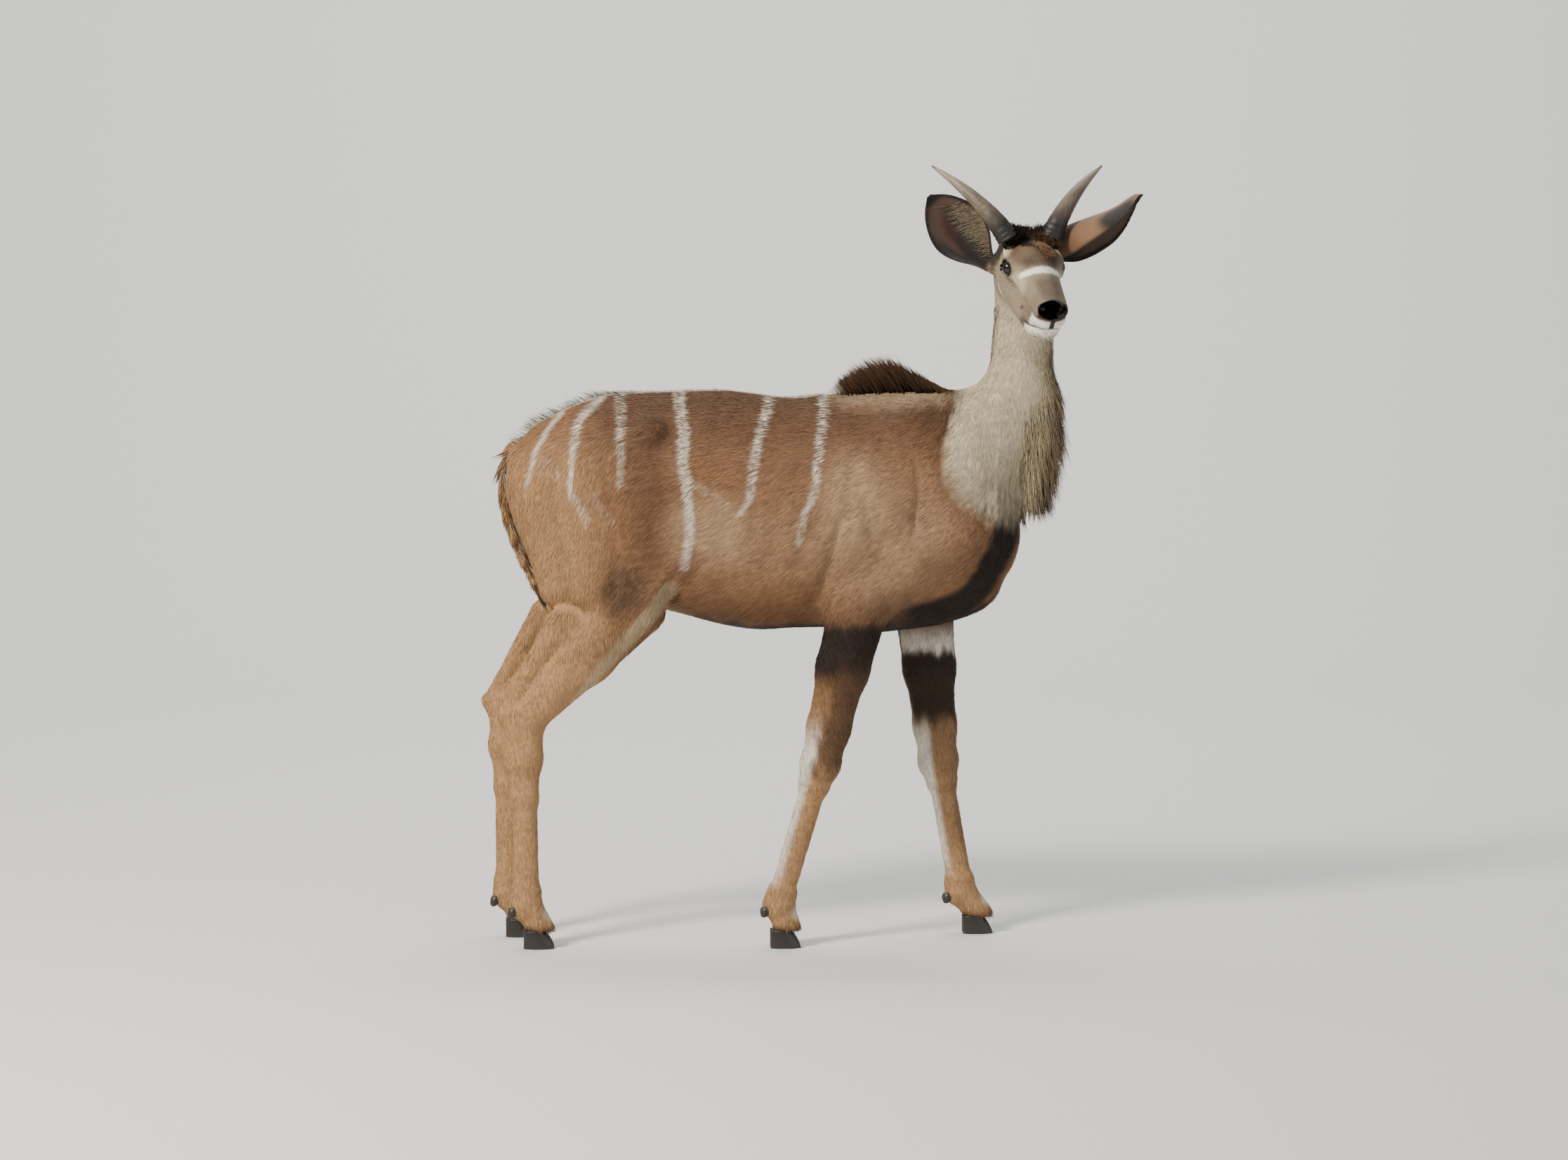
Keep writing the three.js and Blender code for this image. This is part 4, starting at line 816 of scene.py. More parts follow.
points, faces = skin_mesh()
normals = unit(gradient(points, skin_field))
skin_look = material("coat_skin", 0.85, bump=0.5, bump_size=600)
skin = make("skin", points, faces, skin_look, coat_colour(points))
SKIN_NODES = ["torso", "neck", "head", "tail"]
SKIN_NODES += [f"{leg}_{part}" for leg in LEGS for part in ("upper", "lower")]
finish_piece(skin, "coat", *SKIN_NODES)


# The lie of the coat: back along the trunk, down the neck, thighs and legs, and from the
# nose to the crown. An unwrap of each region gives hair its place on a baked picture.
def beyond_shoulder(p, base):
    return 0.894 * (p[:, 0] - base) + 0.448 * (p[:, 2] - 1078)


def lie(p):
    x, y, z = p.T
    trunk_way = np.stack([0 * x - 1, 0 * x, -0.25 - 0.5 * ramp(1200 - z, 0, 300)], 1)
    thigh_way, neck_way, leg_way = vector(-0.35, 0, -1), vector(-0.05, 0, -1), vector(0, 0, -1)
    way = mix(trunk_way, thigh_way, ramp(-x, 180, 330)[:, None] * ramp(1180 - z, 0, 160)[:, None])
    way = mix(way, neck_way, ramp(beyond_shoulder(p, 480), -80, 60)[:, None])
    way = mix(way, leg_way, ramp(-z, -800, -640)[:, None])
    way = mix(way, -HEAD_S, head_share(p, 30)[:, None])
    turn = wave(p, 90, 21)[:, None] * 0.16
    return unit(way + turn * np.cross(unit(way), unit(vector(0.3, 1, 0.2))))


def unwrap(p):
    low, high = p.min(0), p.max(0)
    centre = (low + high) / 2
    long = int(np.argmax(high - low))
    u, v = [axis for axis in range(3) if axis != long]
    angle = np.arctan2(p[:, v] - centre[v], p[:, u] - centre[u]) / (2 * math.pi) + 0.5
    along = (p[:, long] - low[long]) / (high[long] - low[long] + 1e-6)
    return 0.005 + 0.99 * np.stack([angle, along], 1)


def tangent(way, normal):
    return unit(way - (way * normal).sum(1, keepdims=True) * normal)


def tufts(name, roots, normal, way, length, width, rise, tone, look):
    count = len(roots)
    way = tangent(way, normal)
    side = np.cross(way, normal)
    thick = (width * 0.3)[:, None] * normal
    half = (width / 2)[:, None] * side
    tip = roots + way * length[:, None] + normal * rise[:, None]
    points = np.stack([roots + half, roots - half, roots + thick, tip], 1).reshape(-1, 3)
    start = 4 * np.arange(count)[:, None]
    corners = [(0, 1, 3), (1, 2, 3), (2, 0, 3), (0, 2, 1)]
    faces = np.concatenate([start + np.array(c) for c in corners])
    colours = coat_colour(roots) * tone
    shade = np.stack([colours * 0.8, colours * 0.8, colours * 0.9,
                      coat_colour(tip - normal * rise[:, None]) * tone * 1.12], 1)
    home = unwrap(roots)
    patch = np.array([(-0.0012, 0), (0.0012, 0), (0, 0.0006), (0, 0.0024)])
    uv = (home[:, None] + patch).reshape(-1, 2)
    bent = np.stack([normal + 0.7 * side, normal - 0.7 * side, normal, normal + 0.25 * way], 1)
    piece = make(name, points, faces, look, shade.reshape(-1, 3), uv, unit(bent.reshape(-1, 3)))
    return finish_piece(piece, "coat")


corner = points[faces]
areas = np.linalg.norm(np.cross(corner[:, 1] - corner[:, 0], corner[:, 2] - corner[:, 0]), axis=1)
centres = corner.mean(1)


def scatter(weight, count):
    chance = areas * weight
    picked = random.choice(len(faces), count, p=chance / chance.sum())
    a, b = np.sqrt(random.random(count)), random.random(count)
    share = np.stack([1 - a, a * (1 - b), a * b], 1)[:, :, None]
    return (points[faces[picked]] * share).sum(1), unit((normals[faces[picked]] * share).sum(1))


# The wet nose and the eyes with their lids grow no tufts
def bare(p):
    s, _, t = in_head(p).T
    nose = (s > 288) & (t > -21)
    eyes = [np.linalg.norm(p - eye_centre(side) - gaze(side) * 14, axis=1) < 17 for side in (-1, 1)]
    return nose | eyes[0] | eyes[1]


coat_look = material("coat_hair", 0.66)
head_part = head_share(centres) > 0.5
leg_part = ~head_part & (centres[:, 2] < 640)
neck_part = ~head_part & ~leg_part & (beyond_shoulder(centres, 500) > 0)
body_part = ~head_part & ~leg_part & ~neck_part
# Regions: the skin they grow on, how many tufts, and their length, width and rise
REGIONS = {
    "coat_rump": (body_part & (centres[:, 0] < -270), 43000, 17, 2.2, 3.4),
    "coat_flank": (body_part & (centres[:, 0] >= -270) & (centres[:, 0] < 20), 43000, 17, 2.2, 3.4),
    "coat_shoulder": (body_part & (centres[:, 0] >= 20), 44000, 17, 2.2, 3.4),
    "coat_neck": (neck_part, 42000, 15, 1.8, 3.2),
    "coat_forelegs": (leg_part & (centres[:, 0] > -100), 26000, 11, 1.9, 2.4),
    "coat_hindlegs": (leg_part & (centres[:, 0] <= -100), 30000, 11, 1.9, 2.4),
    "coat_face": (head_part & ~bare(centres), 38000, 6.5, 1.1, 1.4),
}
for name, (area, count, length, width, rise) in REGIONS.items():
    roots, upright = scatter(area.astype(float), count)
    size = random.uniform(0.7, 1.25, count)
    tone = random.uniform(0.72, 1.2, count) * (1 + 0.09 * wave(roots, 60, 5) + 0.12 * wave(roots, 15, 6))
    tone = np.clip(tone, 0.5, 1.4)[:, None]
    tufts(name, roots - upright * 0.4, upright, lie(roots), length * size, width * size,
          rise * random.uniform(0.45, 1.0, count), tone, coat_look)


# Long hair: flat tapered blades of several bends, from three-cornered rings. They
# are widest about a quarter of the way up, and their colour runs from dark to light.
def locks(name, roots, way, bend, side, length, width, dark, light, look, slot="coat", steps=5):
    count = len(roots)
    side = unit(side - (side * way).sum(1, keepdims=True) * way)
    deep = np.cross(way, side)
    rings = []
    shades = []
    for i in range(steps):
        u = i / steps
        centre = roots + way * (length * u)[:, None] + bend * (length * u * u)[:, None]
        half = (width / 2 * (1 - u ** 1.7) * (0.7 + 0.5 * math.sin(math.pi * min(1.3 * u, 1))))[:, None]
        rings.append(np.stack([centre + side * half, centre - side * half, centre + deep * half * 0.5], 1))
        shades.append(np.repeat(mix(dark, light, u)[:, None], 3, 1))
    tip = roots + way * length[:, None] + bend * length[:, None]
    points = np.concatenate([*rings, tip[:, None]], 1)
    colours = np.concatenate([*shades, light[:, None]], 1)
    each = 3 * steps + 1
    corners = [(0, 2, 1)]
    for i in range(steps - 1):
        for j in range(3):
            a, b = 3 * i + j, 3 * i + (j + 1) % 3
            corners += [(a, b, b + 3), (a, b + 3, a + 3)]
    for j in range(3):
        corners.append((3 * (steps - 1) + j, 3 * (steps - 1) + (j + 1) % 3, 3 * steps))
    start = each * np.arange(count)[:, None]
    faces = np.concatenate([start + np.array(c) for c in corners])
    home = unwrap(roots)
    rows = np.minimum(np.arange(each) // 3, steps) / steps * 0.003
    columns = np.where(np.arange(each) % 3 == 0, -0.001, np.where(np.arange(each) % 3 == 1, 0.001, 0))
    uv = (home[:, None] + np.stack([columns, rows], 1)).reshape(-1, 2)
    piece = make(name, points.reshape(-1, 3), faces, look, colours.reshape(-1, 3), uv)
    return finish_piece(piece, slot)


def onto_skin(p):
    return settle(np.asarray(p, float), skin_field, 8, 12)


def march_out(roots, way, rounds, stride=8):
    for _ in range(rounds):
        inside = skin_field(roots + way * stride / 2) < 0
        roots = np.where(inside[:, None], roots + way * stride, roots)
    return onto_skin(roots)


def scattered(colour, count, spread=0.18):
    return np.tile(colour, (count, 1)) * random.uniform(1 - spread, 1 + spread, (count, 1))


# The crest over the withers, an upright ridge of hairs up to 11 cm high that lean back,
# black-brown at their roots and lighter at their tips, and white toward the back
hair_look = material("long_hair", 0.55)
CREST_HEIGHT = [(170, 6), (190, 14), (240, 48), (300, 78), (360, 90), (404, 56), (436, 16), (460, 4)]
count = 2300
x = random.uniform(175, 462, count)
y = random.normal(0, 9, count)
roots = onto_skin(np.stack([x, y, np.full(count, 1214.0)], 1)) - (0, 0, 2)
height = station(CREST_HEIGHT, x)[:, 0] * (1 - np.abs(y) / 60)
height = height * 1.22 * (1 - 0.45 * random.random(count) ** 2)
way = unit(np.stack([-0.46 - 0.2 * random.random(count), y * 0.02 + random.normal(0, 0.06, count),
                     np.ones(count)], 1))
bend = np.stack([random.normal(-0.1, 0.06, count), random.normal(0, 0.05, count),
                 np.full(count, -0.08)], 1)
tail_end = ramp(x, 230, 185)[:, None]
light = mix(scattered(ink("#4c3420"), count, 0.35), scattered(WHITE, count), tail_end)
locks("crest", roots, way, bend, vector(1, 0.2, 0), height,
      random.uniform(2.2, 4.6, count), mix(scattered(ink("#21180f"), count), light, tail_end),
      light, hair_look)

# White hairs along the back, from the crest to the root of the tail, one or two
# centimetres long, mixed with a few sooty ones over the rump
count = 1500
x = random.uniform(-500, 200, count)
y = random.normal(0, 6, count)
top = station(TRUNK, x)[:, 0]
roots = onto_skin(np.stack([x, y, top], 1)) - (0, 0, 1)
rump = ramp(-x, 180, 330)
way = unit(np.stack([-np.ones(count), random.normal(0, 0.25, count),
                     random.uniform(0.2, 0.45, count) + 0.35 * rump], 1))
sooty = (random.random(count) < 0.3 * rump)[:, None]
light = np.where(sooty, scattered(ink("#4a3c30"), count), scattered(WHITE, count))
locks("back_fringe", roots, way, vector(0, 0, -0.15), vector(0, 1, 0),
      random.uniform(14, 28, count) * (1 + 0.5 * rump),
      random.uniform(1.6, 3.0, count), light * 0.72, light, hair_look)

# The fringe under the throat, grey-brown hair up to 9 cm long that hangs from the front
# of the neck down to the chest, and is darkest at its lower end
count = 4800
z = random.uniform(945, 1345, count)
turn = np.clip(random.normal(0, 0.75, count), -1.5, 1.5)
out = np.stack([np.cos(turn), np.sin(turn), np.zeros(count)], 1)
roots = np.stack([np.full(count, 600.0), np.zeros(count), z], 1)
roots = march_out(roots, out, 14)
upright = unit(gradient(roots, skin_field))
long = mix(92, 18, ramp(z, 1130, 1345)) * (1 - 0.38 * np.abs(turn)) * random.uniform(0.6, 1.05, count)
long = long * mix(0.7, 1, ramp(z, 950, 1040))
stand = (1 - 0.5 * np.abs(turn)) * random.uniform(0.5, 0.95, count)
way = unit(upright * stand[:, None] + (0.03, 0, -1)
           + random.normal(0, 0.07, (count, 3)))
bend = -0.28 * upright + (0, 0, -0.08) + random.normal(0, 0.03, (count, 3))
front = ramp(np.cos(turn), 0.75, 1)[:, None]
light = mix(scattered(ink("#b3a384"), count, 0.25), scattered(ink("#866f54"), count, 0.3), front * 0.7)
low_end = ramp(-z, -1060, -960)[:, None] * front
light = mix(light, scattered(ink("#46372a"), count, 0.3), 0.6 * low_end)
locks("throat_fringe", roots - upright, way, bend, np.cross(out, (0, 0, 1)), long,
      random.uniform(1.6, 3.4, count), light * 0.75, light, hair_look)

# The short mane on the nape, pale brown hair of one or two centimetres that runs down
# the back of the neck toward the shoulders
count = 500
z = random.uniform(1215, 1400, count)
roots = np.stack([np.full(count, 600.0), random.normal(0, 9, count), z], 1)
roots = march_out(roots, vector(-1, 0, 0), 16)
way = unit(np.stack([random.uniform(-0.7, -0.35, count), random.normal(0, 0.15, count),
                     -np.ones(count)], 1))
locks("nape_mane", roots, way, vector(0.15, 0, -0.05), vector(0, 1, 0),
      random.uniform(10, 20, count), random.uniform(1.6, 3, count), scattered(ink("#8f7c60"), count),
      scattered(ink("#a89675"), count), hair_look)

# The tail's hair, brown on its outer side, white on its inner side and dark at the end,
# over a core of flesh that belongs to the skin
count = 1300
u = random.uniform(0.12, 0.97, count) * (len(TAIL_PATH) - 1)
index = np.minimum(u.astype(int), len(TAIL_PATH) - 2)
centre = mix(TAIL_PATH[index], TAIL_PATH[index + 1], (u - index)[:, None])
along = unit(TAIL_PATH[index + 1] - TAIL_PATH[index])
turn = random.uniform(-math.pi, math.pi, count)
deep = np.cross(along, vector(0, 1, 0))
out = np.cos(turn)[:, None] * deep + np.sin(turn)[:, None] * vector(0, 1, 0)
roots = centre + out * vector(6, 9, 6)
way = unit(along + out * random.uniform(0.1, 0.26, (count, 1)) + random.normal(0, 0.05, (count, 3)))
share = (u / 8)[:, None]
dark = mix(scattered(ink("#76563a"), count), scattered(DARK, count), ramp(share, 0.82, 1))
light = mix(scattered(ink("#8f6c48"), count), scattered(ink("#33261c"), count), ramp(share, 0.8, 0.97))
inner = (out[:, 0:1] > 0.2) & (share < 0.9)
light = np.where(inner, WHITE * 0.9, light)
locks("tail_hair", roots, way, -0.1 * out, np.cross(along, out),
      random.uniform(26, 56, count) * (1 - 0.25 * share[:, 0]),
      random.uniform(2.5, 4.5, count), dark, light, hair_look)

# The forelock between the horns, short upright hair that is rufous in front and black
# on the crown
count = 1300
l = random.uniform(-34, 40, count)
s = random.uniform(40, 128 + 34 * ramp(l, -4, 16), count) - 0.5 * np.abs(l - 14)
roots = onto_skin(HEAD_ORIGIN + np.stack([s, l, np.full(count, 54.0)], 1) @ HEAD_AXES)
flat = ramp(s, 60, 100)
way = unit(np.stack([random.uniform(-0.2, 0.4, count) + 1.1 * flat,
                     l * 0.012 + random.normal(0, 0.25, count), 1.1 - 0.7 * flat], 1)) @ HEAD_AXES
front = (ramp(s, 62, 84) * ramp(l, -16, 2))[:, None]
dark = mix(scattered(ink("#1d1611"), count), scattered(ink("#644b36"), count), front)
locks("forelock", roots, way, random.normal(0, 0.1, (count, 3)) + 0.15 * HEAD_S,
      HEAD_L, random.uniform(11, 24, count) * (1 - 0.3 * flat),
      random.uniform(1.3, 2.6, count), dark, dark * 1.7, hair_look, "face")

# Short hair that rings the horns at their roots, black behind and rufous in front,
# and hides where horn and skin meet
count = 1100
turn = random.uniform(0, 2 * math.pi, count)
flank = np.where(random.random(count) < 0.5, -1, 1)
far = random.uniform(20, 36, count)
place = np.stack([68 + far * np.cos(turn), flank * 46 + far * np.sin(turn), np.full(count, 34.0)], 1)
roots = onto_skin(HEAD_ORIGIN + place @ HEAD_AXES)
way = unit(np.stack([-0.25 + 0.35 * np.cos(turn), flank * 0.45 + 0.35 * np.sin(turn), np.ones(count)], 1)
           + random.normal(0, 0.14, (count, 3))) @ HEAD_AXES
rufous = ramp(place[:, 1], 0, 20)[:, None] * ramp(place[:, 0], 66, 84)[:, None]
dark = mix(scattered(ink("#1a130e"), count), scattered(ink("#5a4330"), count), rufous)
locks("horn_root_hair", roots, way, random.normal(0, 0.08, (count, 3)), HEAD_S,
      random.uniform(12, 24, count), random.uniform(1.3, 2.4, count), dark, dark * 1.6, hair_look, "face", 3)

# The small tuft on the chin, pale hair that hangs a centimetre or so below the white
# of the lower lip
count = 420
roots = HEAD_ORIGIN + np.stack([random.uniform(236, 284, count), random.normal(0, 8, count),
                                np.full(count, -66.0)], 1) @ HEAD_AXES
roots = onto_skin(roots)
way = unit(np.stack([random.uniform(-0.5, 0.05, count), random.normal(0, 0.12, count),
                     -np.ones(count)], 1)) @ HEAD_AXES
locks("chin_tuft", roots, way, -0.2 * HEAD_S, HEAD_L,
      random.uniform(7, 17, count), random.uniform(1.2, 2.2, count), scattered(ink("#a3967f"), count),
      scattered(WHITE, count), hair_look, "face")

# Ears: deep leaves of skin over gristle, rolled to a tube at the root and open toward the
# face. The shape gives half the breadth and the roll, in degrees, from root to tip.
EAR_SHAPE = [(0, 17, 128), (0.12, 30, 112), (0.28, 56, 84), (0.46, 71, 66), (0.62, 69, 58),
             (0.8, 52, 50), (0.92, 31, 42), (1, 6, 30)]
EAR_THICKNESS = 4.5
ear_look = material("ear_skin", 0.75, sheen=0.2, bump=0.4, bump_size=500)


# Recalculates which way the faces of a closed piece look, so that all look outward
def face_outward(piece):
    grid = bmesh.new()
    grid.from_mesh(piece.data)
    bmesh.ops.recalc_face_normals(grid, faces=grid.faces[:])
    grid.to_mesh(piece.data)
    grid.free()


def ear_surface(spec, u, v, inset):
    side, root, tip, opening, breadth, curl, bow, fullest = spec
    tip, opening = vector(*tip), vector(*opening)
    axis = unit(tip)
    mouth = unit(opening - axis * (opening @ axis))
    wide = np.cross(axis, mouth)
    half, roll = station(EAR_SHAPE, u).T
    roll = np.radians(roll) * curl
    turn = roll * v
    radius = breadth * half / np.sin(np.minimum(roll, math.pi / 2)) - inset
    depth = radius * (np.cos(turn) - np.cos(roll) * 0.35) - bow * np.sin(math.pi * u ** fullest)
    centre = head_point(*root) + axis * (np.linalg.norm(tip) * u)[:, None]
    return centre + wide * (radius * np.sin(turn))[:, None] - mouth * depth[:, None]


# Each spot of colour: its place along and across, its size along and across, how strong
def ear_patch(shade, u, v, place, size, strength, colour):
    far = np.hypot((u - place[0]) / size[0], (v - place[1]) / size[1])
    return paint(shade, strength * (1 - ramp(far, 0.55, 1.1)), ink(colour))


def ear_colours_and_shade(u, v, inner):
    # Inside the ear: its own red-brown middle and black rim, with painted shade that darkens the whole inner
    # face, to near black deep in the roll at the root
    inside = np.tile(ink("#453329"), (len(u), 1))
    inside = ear_patch(inside, u, v, (0.55, 0.1), (0.34, 0.6), 0.9, "#2b130c")
    inside = ear_patch(inside, u, v, (0.62, 0.3), (0.2, 0.34), 0.9, "#110805")
    inside = ear_patch(inside, u, v, (0.34, -0.1), (0.24, 0.34), 0.85, "#150b08")
    inside = ear_patch(inside, u, v, (0.12, 0), (0.24, 1.4), 0.92, "#17100d")
    inside = ear_patch(inside, u, v, (0.26, -0.9), (0.42, 0.5), 0.94, "#13100e")
    inside = paint(inside, 0.95 * ramp(np.maximum(np.abs(v), u), 0.9, 0.95), ink("#120e0c"))
    outside = np.tile(ink("#7a5a40"), (len(u), 1))
    outside = ear_patch(outside, u, v, (0.1, 0), (0.25, 1.4), 0.6, "#4c3626")
    outside = ear_patch(outside, u, v, (0.68, -0.82), (0.24, 0.46), 0.97, "#110d0b")
    outside = paint(outside, 0.85 * ramp(np.abs(v), 0.92, 1.0), ink("#1e1713"))
    return np.where(inner[:, None], inside, outside)


for name, spec in EARS.items():
    rows, columns = 56, 48
    u, v = np.meshgrid(np.linspace(0, 1, rows + 1), np.linspace(-1, 1, columns + 1), indexing="ij")
    u, v = u.ravel(), v.ravel()
    thin = EAR_THICKNESS * (1 - 0.75 * np.maximum(np.abs(v) ** 6, u ** 6))
    outer = ear_surface(spec, u, v, 1.0)
    inner = ear_surface(spec, u, v, 1.0 + thin)
    each = (rows + 1) * (columns + 1)
    at = lambda layer, i, j: layer * each + i * (columns + 1) + j
    i, j = [grid.ravel() for grid in np.meshgrid(np.arange(rows), np.arange(columns), indexing="ij")]
    quads = [np.stack([at(0, i, j), at(0, i, j + 1), at(0, i + 1, j + 1), at(0, i + 1, j)], 1),
             np.stack([at(1, i, j), at(1, i + 1, j), at(1, i + 1, j + 1), at(1, i, j + 1)], 1)]
    j = np.arange(columns)
    zero, last = 0 * j, 0 * j + rows
    quads.append(np.stack([at(0, zero, j + 1), at(0, zero, j), at(1, zero, j), at(1, zero, j + 1)], 1))
    quads.append(np.stack([at(0, last, j), at(0, last, j + 1), at(1, last, j + 1), at(1, last, j)], 1))
    i = np.arange(rows)
    zero, last = 0 * i, 0 * i + columns
    quads.append(np.stack([at(0, i, zero), at(0, i + 1, zero), at(1, i + 1, zero), at(1, i, zero)], 1))
    quads.append(np.stack([at(0, i + 1, last), at(0, i, last), at(1, i, last), at(1, i + 1, last)], 1))
    shade = np.concatenate([ear_colours_and_shade(u, v, np.full(each, inward)) for inward in (False, True)])
    leaf = make(name + "_leaf", np.concatenate([outer, inner]), np.concatenate(quads), ear_look, shade)
    face_outward(leaf)
    finish_piece(leaf, "ear", name)

# Pale hairs, two to four centimetres long, fan over the mouth of each ear from its near
# edge, and short dark ones line its rim
ear_hair = material("ear_hair", 0.6, sheen=0.1)
for name, spec in EARS.items():
    count = 2000
    edge = 1 if name == "ear_right" else -1
    u = np.concatenate([random.normal(0.4, 0.13, count - 900), random.uniform(0.05, 0.97, 900)])
    u = np.clip(u, 0.04, 0.97)
    deep = np.arange(count) < count - 900
    v = np.where(deep, edge * random.uniform(0.42, 0.97, count),
                 np.where(random.random(count) < 0.5, 1, -1) * random.uniform(0.93, 0.99, count))
    here = ear_surface(spec, u, v, 1.5 + EAR_THICKNESS * 0.3)
    toward_tip = unit(ear_surface(spec, np.minimum(u + 0.03, 1), v, 3.0) - here)
    toward_mid = unit(ear_surface(spec, u, v * 0.9, 3.0) - here)
    open_way = unit(ear_surface(spec, u, v, 12.0) - here)
    way = unit(toward_tip * random.uniform(0.5, 1, (count, 1)) + random.normal(0, 0.15, (count, 3))
               + np.where(deep[:, None], toward_mid * 0.9 + open_way * 0.35, open_way * 0.3))
    roots = here + open_way * np.where(deep, 3.2, 1.5)[:, None]
    tone = np.where(deep[:, None], scattered(ink("#86765f"), count), scattered(ink("#2e241d"), count))
    locks(name + "_hair", roots, way, toward_mid * 0.15, np.cross(way, open_way),
          np.where(deep, random.uniform(20, 42, count), random.uniform(4, 9, count)),
          np.where(deep, 1.5, 1.0), tone * 0.7, tone, ear_hair, "ear", 3)

# Horns: sheaths of grey-brown horn over bone that rise from the crown and curve out, back
# and up, ridged below and smooth at the tip
HORN_ROOT, HORN_TIP = (70, 48, 38), (-86, 195, 127)
HORN_BENDS = {-1: (20, 103, 111), 1: (20, 86, 120)}
HORN_RADIUS = 24.0
horn_look = material("horn_sheath", 0.5, bump=0.6, bump_size=260)


# Faces of a closed tube, whose points are rings from end to end, then each end's middle
def tube_faces(rows, columns):
    j = np.arange(columns)
    k = (j + 1) % columns
    faces = []
    for i in range(rows):
        faces.append(np.stack([i * columns + j, i * columns + k, (i + 1) * columns + k], 1))
        faces.append(np.stack([i * columns + j, (i + 1) * columns + k, (i + 1) * columns + j], 1))
    ends = (rows + 1) * columns
    faces.append(np.stack([k, j, 0 * j + ends], 1))
    faces.append(np.stack([rows * columns + j, rows * columns + k, 0 * j + ends + 1], 1))
    return np.concatenate(faces)


for side_name, side in SIDES:
    a, b, c = (head_point(s, side * l, t) for s, l, t in (HORN_ROOT, HORN_BENDS[side], HORN_TIP))
    curve = lambda u: mix(mix(a, b, u), mix(b, c, u), u)
    rows, columns = 160, 40
    rings, shades = [], []
    for i in range(rows + 1):
        u = 0.998 * i / rows
        along = unit(curve(u + 0.005) - curve(u - 0.005))
        front = unit(np.cross(HEAD_L, along))
        beside = np.cross(along, front)
        angle = np.linspace(0, 2 * math.pi, columns, endpoint=False)
        ridge = 0.02 * math.sin(u * 96 + 4 * math.sin(u * 13)) * max(0, 1 - 1.4 * u)
        ridge = ridge + 0.012 * np.sin(angle * 5 + 3 * u) * (1 - u)
        radius = HORN_RADIUS * (1 - u) ** 0.72 * (1 + ridge) + 0.8
        keel = 1 + 0.12 * np.cos(angle - side * u * 2.2)
        out = np.cos(angle)[:, None] * front + np.sin(angle)[:, None] * beside
        rings.append(curve(u) + out * (radius * keel)[:, None])
        shade = mix(ink("#17120f"), ink("#5f5242"), float(ramp(np.array(u), 0.12, 0.42)))
        shade = mix(shade, ink("#857a68"), float(ramp(np.array(u), 0.5, 0.85)))
        shade = mix(shade, HORN_DARK, float(ramp(np.array(u), 0.93, 1.0)))
        streak = 1 + 0.22 * np.sin(angle * 7 + 9 * u) * np.sin(angle * 3 + u * 40)
        # The colour follows the ridges, with painted highlights on their crests and painted shade in the
        # grooves between them
        shades.append(shade * streak[:, None] * (1 + 4 * np.reshape(ridge, (-1, 1))))
    shape = np.concatenate([*rings, [curve(-0.02)], [curve(1.0)]])
    shades = np.concatenate([*shades, [ink("#3a332b")], [HORN_DARK]])
    sheath = make(f"horn_{side_name}_sheath", shape, tube_faces(rows, columns), horn_look, shades)
    face_outward(sheath)
    finish_piece(sheath, "horn", f"horn_{side_name}")

# Eyes: wet dark brown globes with a level oblong pupil, of which the lids leave an
# almond open
eye_look = material("eyeball", 0.16, coat=0.15)


def sphere(around, upright, radius):
    ball = bmesh.new()
    bmesh.ops.create_uvsphere(ball, u_segments=around, v_segments=upright, radius=radius)
    place = np.array([v.co for v in ball.verts])
    bmesh.ops.triangulate(ball, faces=ball.faces[:])
    corners = np.array([[v.index for v in f.verts] for f in ball.faces])
    ball.free()
    return place, corners


for side_name, side in SIDES:
    place, corners = sphere(64, 48, EYE_RADIUS)
    forward, upward, out = eye_axes(side)
    along, up, deep = place @ forward, place @ upward, place @ out
    iris = 1 - ramp(np.hypot(along, up), 11.5, 13)
    shade = paint(np.tile(ink("#0b0705"), (len(place), 1)), iris, ink("#130a06"))
    pupil = 1 - ramp(np.hypot(along / 1.6, up), 4.2, 5.2)
    shade = paint(shade, pupil * (deep > 0), ink("#050303"))
    globe = make(f"eye_{side_name}_globe", place + eye_centre(side), corners, eye_look, shade)
    finish_piece(globe, "eye", f"eye_{side_name}")

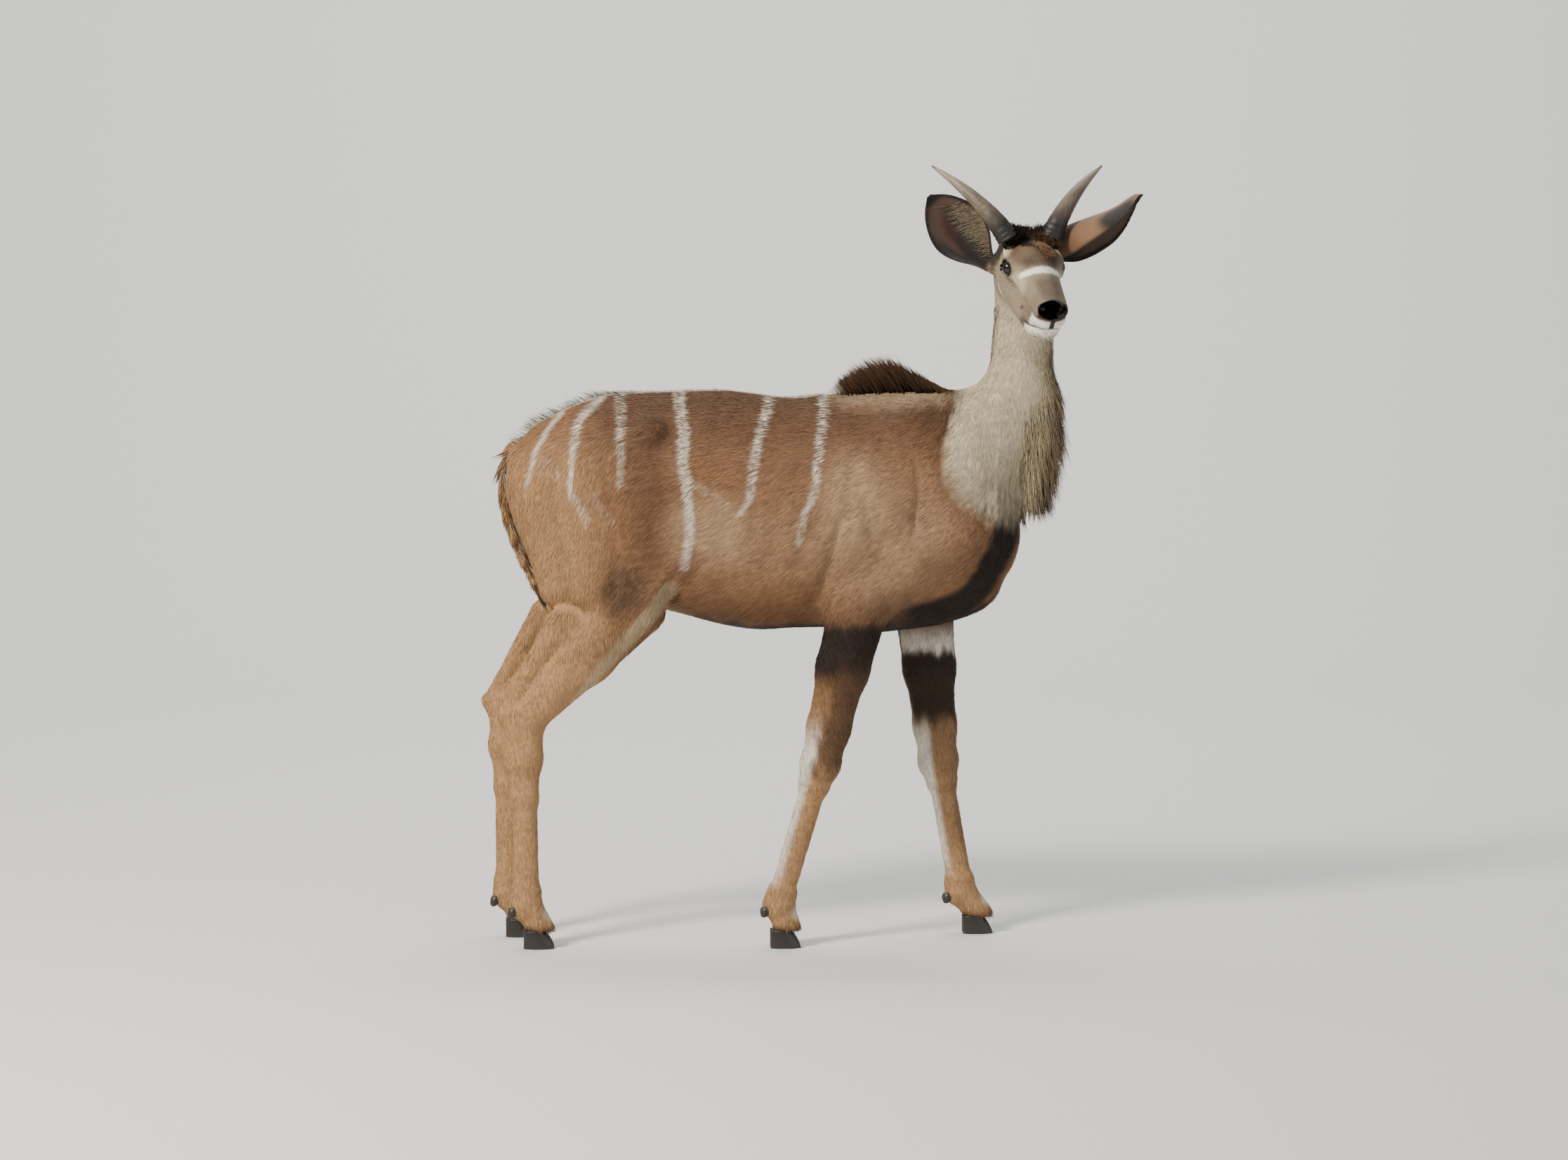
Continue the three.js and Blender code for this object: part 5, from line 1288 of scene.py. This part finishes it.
# Hooves, two halves of dark horn to a foot, and the two dewclaws behind each fetlock.
# A section gives its height, its size against the sole's and how far it is set back.
HOOF_LENGTH, HOOF_WIDTH, HOOF_CLEFT = 68, 26, 4
HOOF_SECTIONS = [(0, 1, 0), (12, 0.96, -3), (26, 0.9, -9), (CORONET_Z, 0.82, -17)]
DEWCLAW_RADII = (9.5, 7.5, 13.5)
DEWCLAW_LEAN = 0.5
hoof_look = material("hoof_horn", 0.4, bump=0.4, bump_size=300)
for leg, (_, joints, toe) in LEGS.items():
    for half_name, side in SIDES:
        rows, columns = 26, 48
        angle = np.linspace(0, 2 * math.pi, columns, endpoint=False)
        along, across = np.cos(angle), np.sin(angle)
        rings, shades = [], []
        for z in np.linspace(0, CORONET_Z - 0.3, rows + 1):
            size, back = station(HOOF_SECTIONS, np.array([z]))[0]
            round_edge = 1 - 0.03 * max(0, 1 - z / 3)
            ring_groove = 1 + 0.008 * math.sin(z * 0.9)
            half = HOOF_WIDTH / 2 * (1 - 0.42 * np.maximum(along, 0) ** 2)
            x = toe[0] - HOOF_LENGTH / 2 + back * np.maximum(0.35, (along + 1) / 2)
            x = x + along * HOOF_LENGTH / 2 * size * round_edge * ring_groove
            inner = toe[1] + side * (HOOF_CLEFT / 2 + HOOF_WIDTH / 2)
            y = inner + across * half * (0.92 + 0.08 * size) * round_edge
            rings.append(np.stack([x, y, np.full(columns, z)], 1))
            shades.append(np.tile(mix(ink("#2e2823"), ink("#1a1613"), z / CORONET_Z), (columns, 1)))
        shape = np.concatenate([*rings, [rings[0].mean(0)], [rings[-1].mean(0)]])
        shades = np.concatenate([*shades, [ink("#2a2420")], [ink("#1a1613")]])
        hoof = make(f"{leg}_hoof_{half_name}_wall", shape, tube_faces(rows, columns), hoof_look,
                    shades)
        finish_piece(hoof, "hoof", f"{leg}_hoof_{half_name}")
        place, corners = sphere(32, 20, 1)
        place = place * DEWCLAW_RADII
        turned = place.copy()
        cosine, sine = math.cos(DEWCLAW_LEAN), math.sin(DEWCLAW_LEAN)
        turned[:, 0] = place[:, 0] * cosine + place[:, 2] * sine
        turned[:, 2] = -place[:, 0] * sine + place[:, 2] * cosine
        fetlock = joints[3]
        turned = turned + (fetlock[0] - 31, fetlock[1] + side * 15, fetlock[2] - 18)
        dewclaw = make(f"{leg}_dewclaw_{half_name}_horn", turned, corners, hoof_look, HORN_DARK)
        finish_piece(dewclaw, "hoof", f"{leg}_dewclaw_{half_name}")

# Floor, light and camera: a plain pale sweep, a warm key lamp from the animal's rear
# right like the sun, a faint fill, and a long lens at the photo's distance and height
profile = [(-14.0, 0.0)] + [(5 + 4 * math.sin(a), 4 - 4 * math.cos(a))
                            for a in np.linspace(0, math.pi / 2, 33)] + [(9.0, 12.0)]
floor = bpy.data.meshes.new("floor")
floor.from_pydata([(x, y, z) for y, z in profile for x in (-16, 16)], [],
                  [(2 * i, 2 * i + 1, 2 * i + 3, 2 * i + 2) for i in range(len(profile) - 1)])
floor.polygons.foreach_set("use_smooth", [True] * len(floor.polygons))
floor.materials.append(material("floor", 0.9, ink("#dcdbd8")))
floor = bpy.data.objects.new("floor", floor)
bpy.context.scene.collection.objects.link(floor)

world = bpy.data.worlds.new("studio")
world.use_nodes = True
world.node_tree.nodes["Background"].inputs["Color"].default_value = (0.86, 0.9, 0.95, 1)
world.node_tree.nodes["Background"].inputs["Strength"].default_value = 0.55
bpy.context.scene.world = world


def lamp(name, place, aim, power, size, colour):
    light = bpy.data.lights.new(name, "AREA")
    light.energy = power
    light.size = size
    light.color = colour
    holder = bpy.data.objects.new(name, light)
    holder.location = place
    holder.rotation_euler = (Vector(aim) - Vector(place)).to_track_quat("-Z", "Y").to_euler()
    bpy.context.scene.collection.objects.link(holder)


lamp("key", (-3.6, -3.8, 4.6), (0, 0, 0.8), 600, 1.3, (1.0, 0.94, 0.85))
lamp("fill", (4.5, -4.0, 2.2), (0, 0, 0.8), 50, 3.0, (0.9, 0.95, 1.0))
lamp("sweep", (0, 3.5, 7.5), (0, 8, 1.5), 560, 5.0, (1.0, 0.99, 0.97))

PHOTO_WIDTH, LENS_IN_PIXELS = 2233, 7150
CAMERA_AIM, CAMERA_DISTANCE = vector(84, 0, 797), 11
SENSOR_WIDTH = 36
view = bpy.data.cameras.new("camera")
view.sensor_width = SENSOR_WIDTH
view.lens = LENS_IN_PIXELS * SENSOR_WIDTH / PHOTO_WIDTH
view.clip_end = 200
camera = bpy.data.objects.new("camera", view)
azimuth, elevation = math.radians(-2), math.radians(5)
back = vector(math.sin(azimuth) * math.cos(elevation), -math.cos(azimuth) * math.cos(elevation),
              math.sin(elevation))
aim = (CAMERA_AIM - SHIFT) / 1000
camera.location = aim + back * CAMERA_DISTANCE
camera.rotation_mode = "QUATERNION"
camera.rotation_quaternion = Vector(-back).to_track_quat("-Z", "Y")
bpy.context.scene.collection.objects.link(camera)
bpy.context.scene.camera = camera
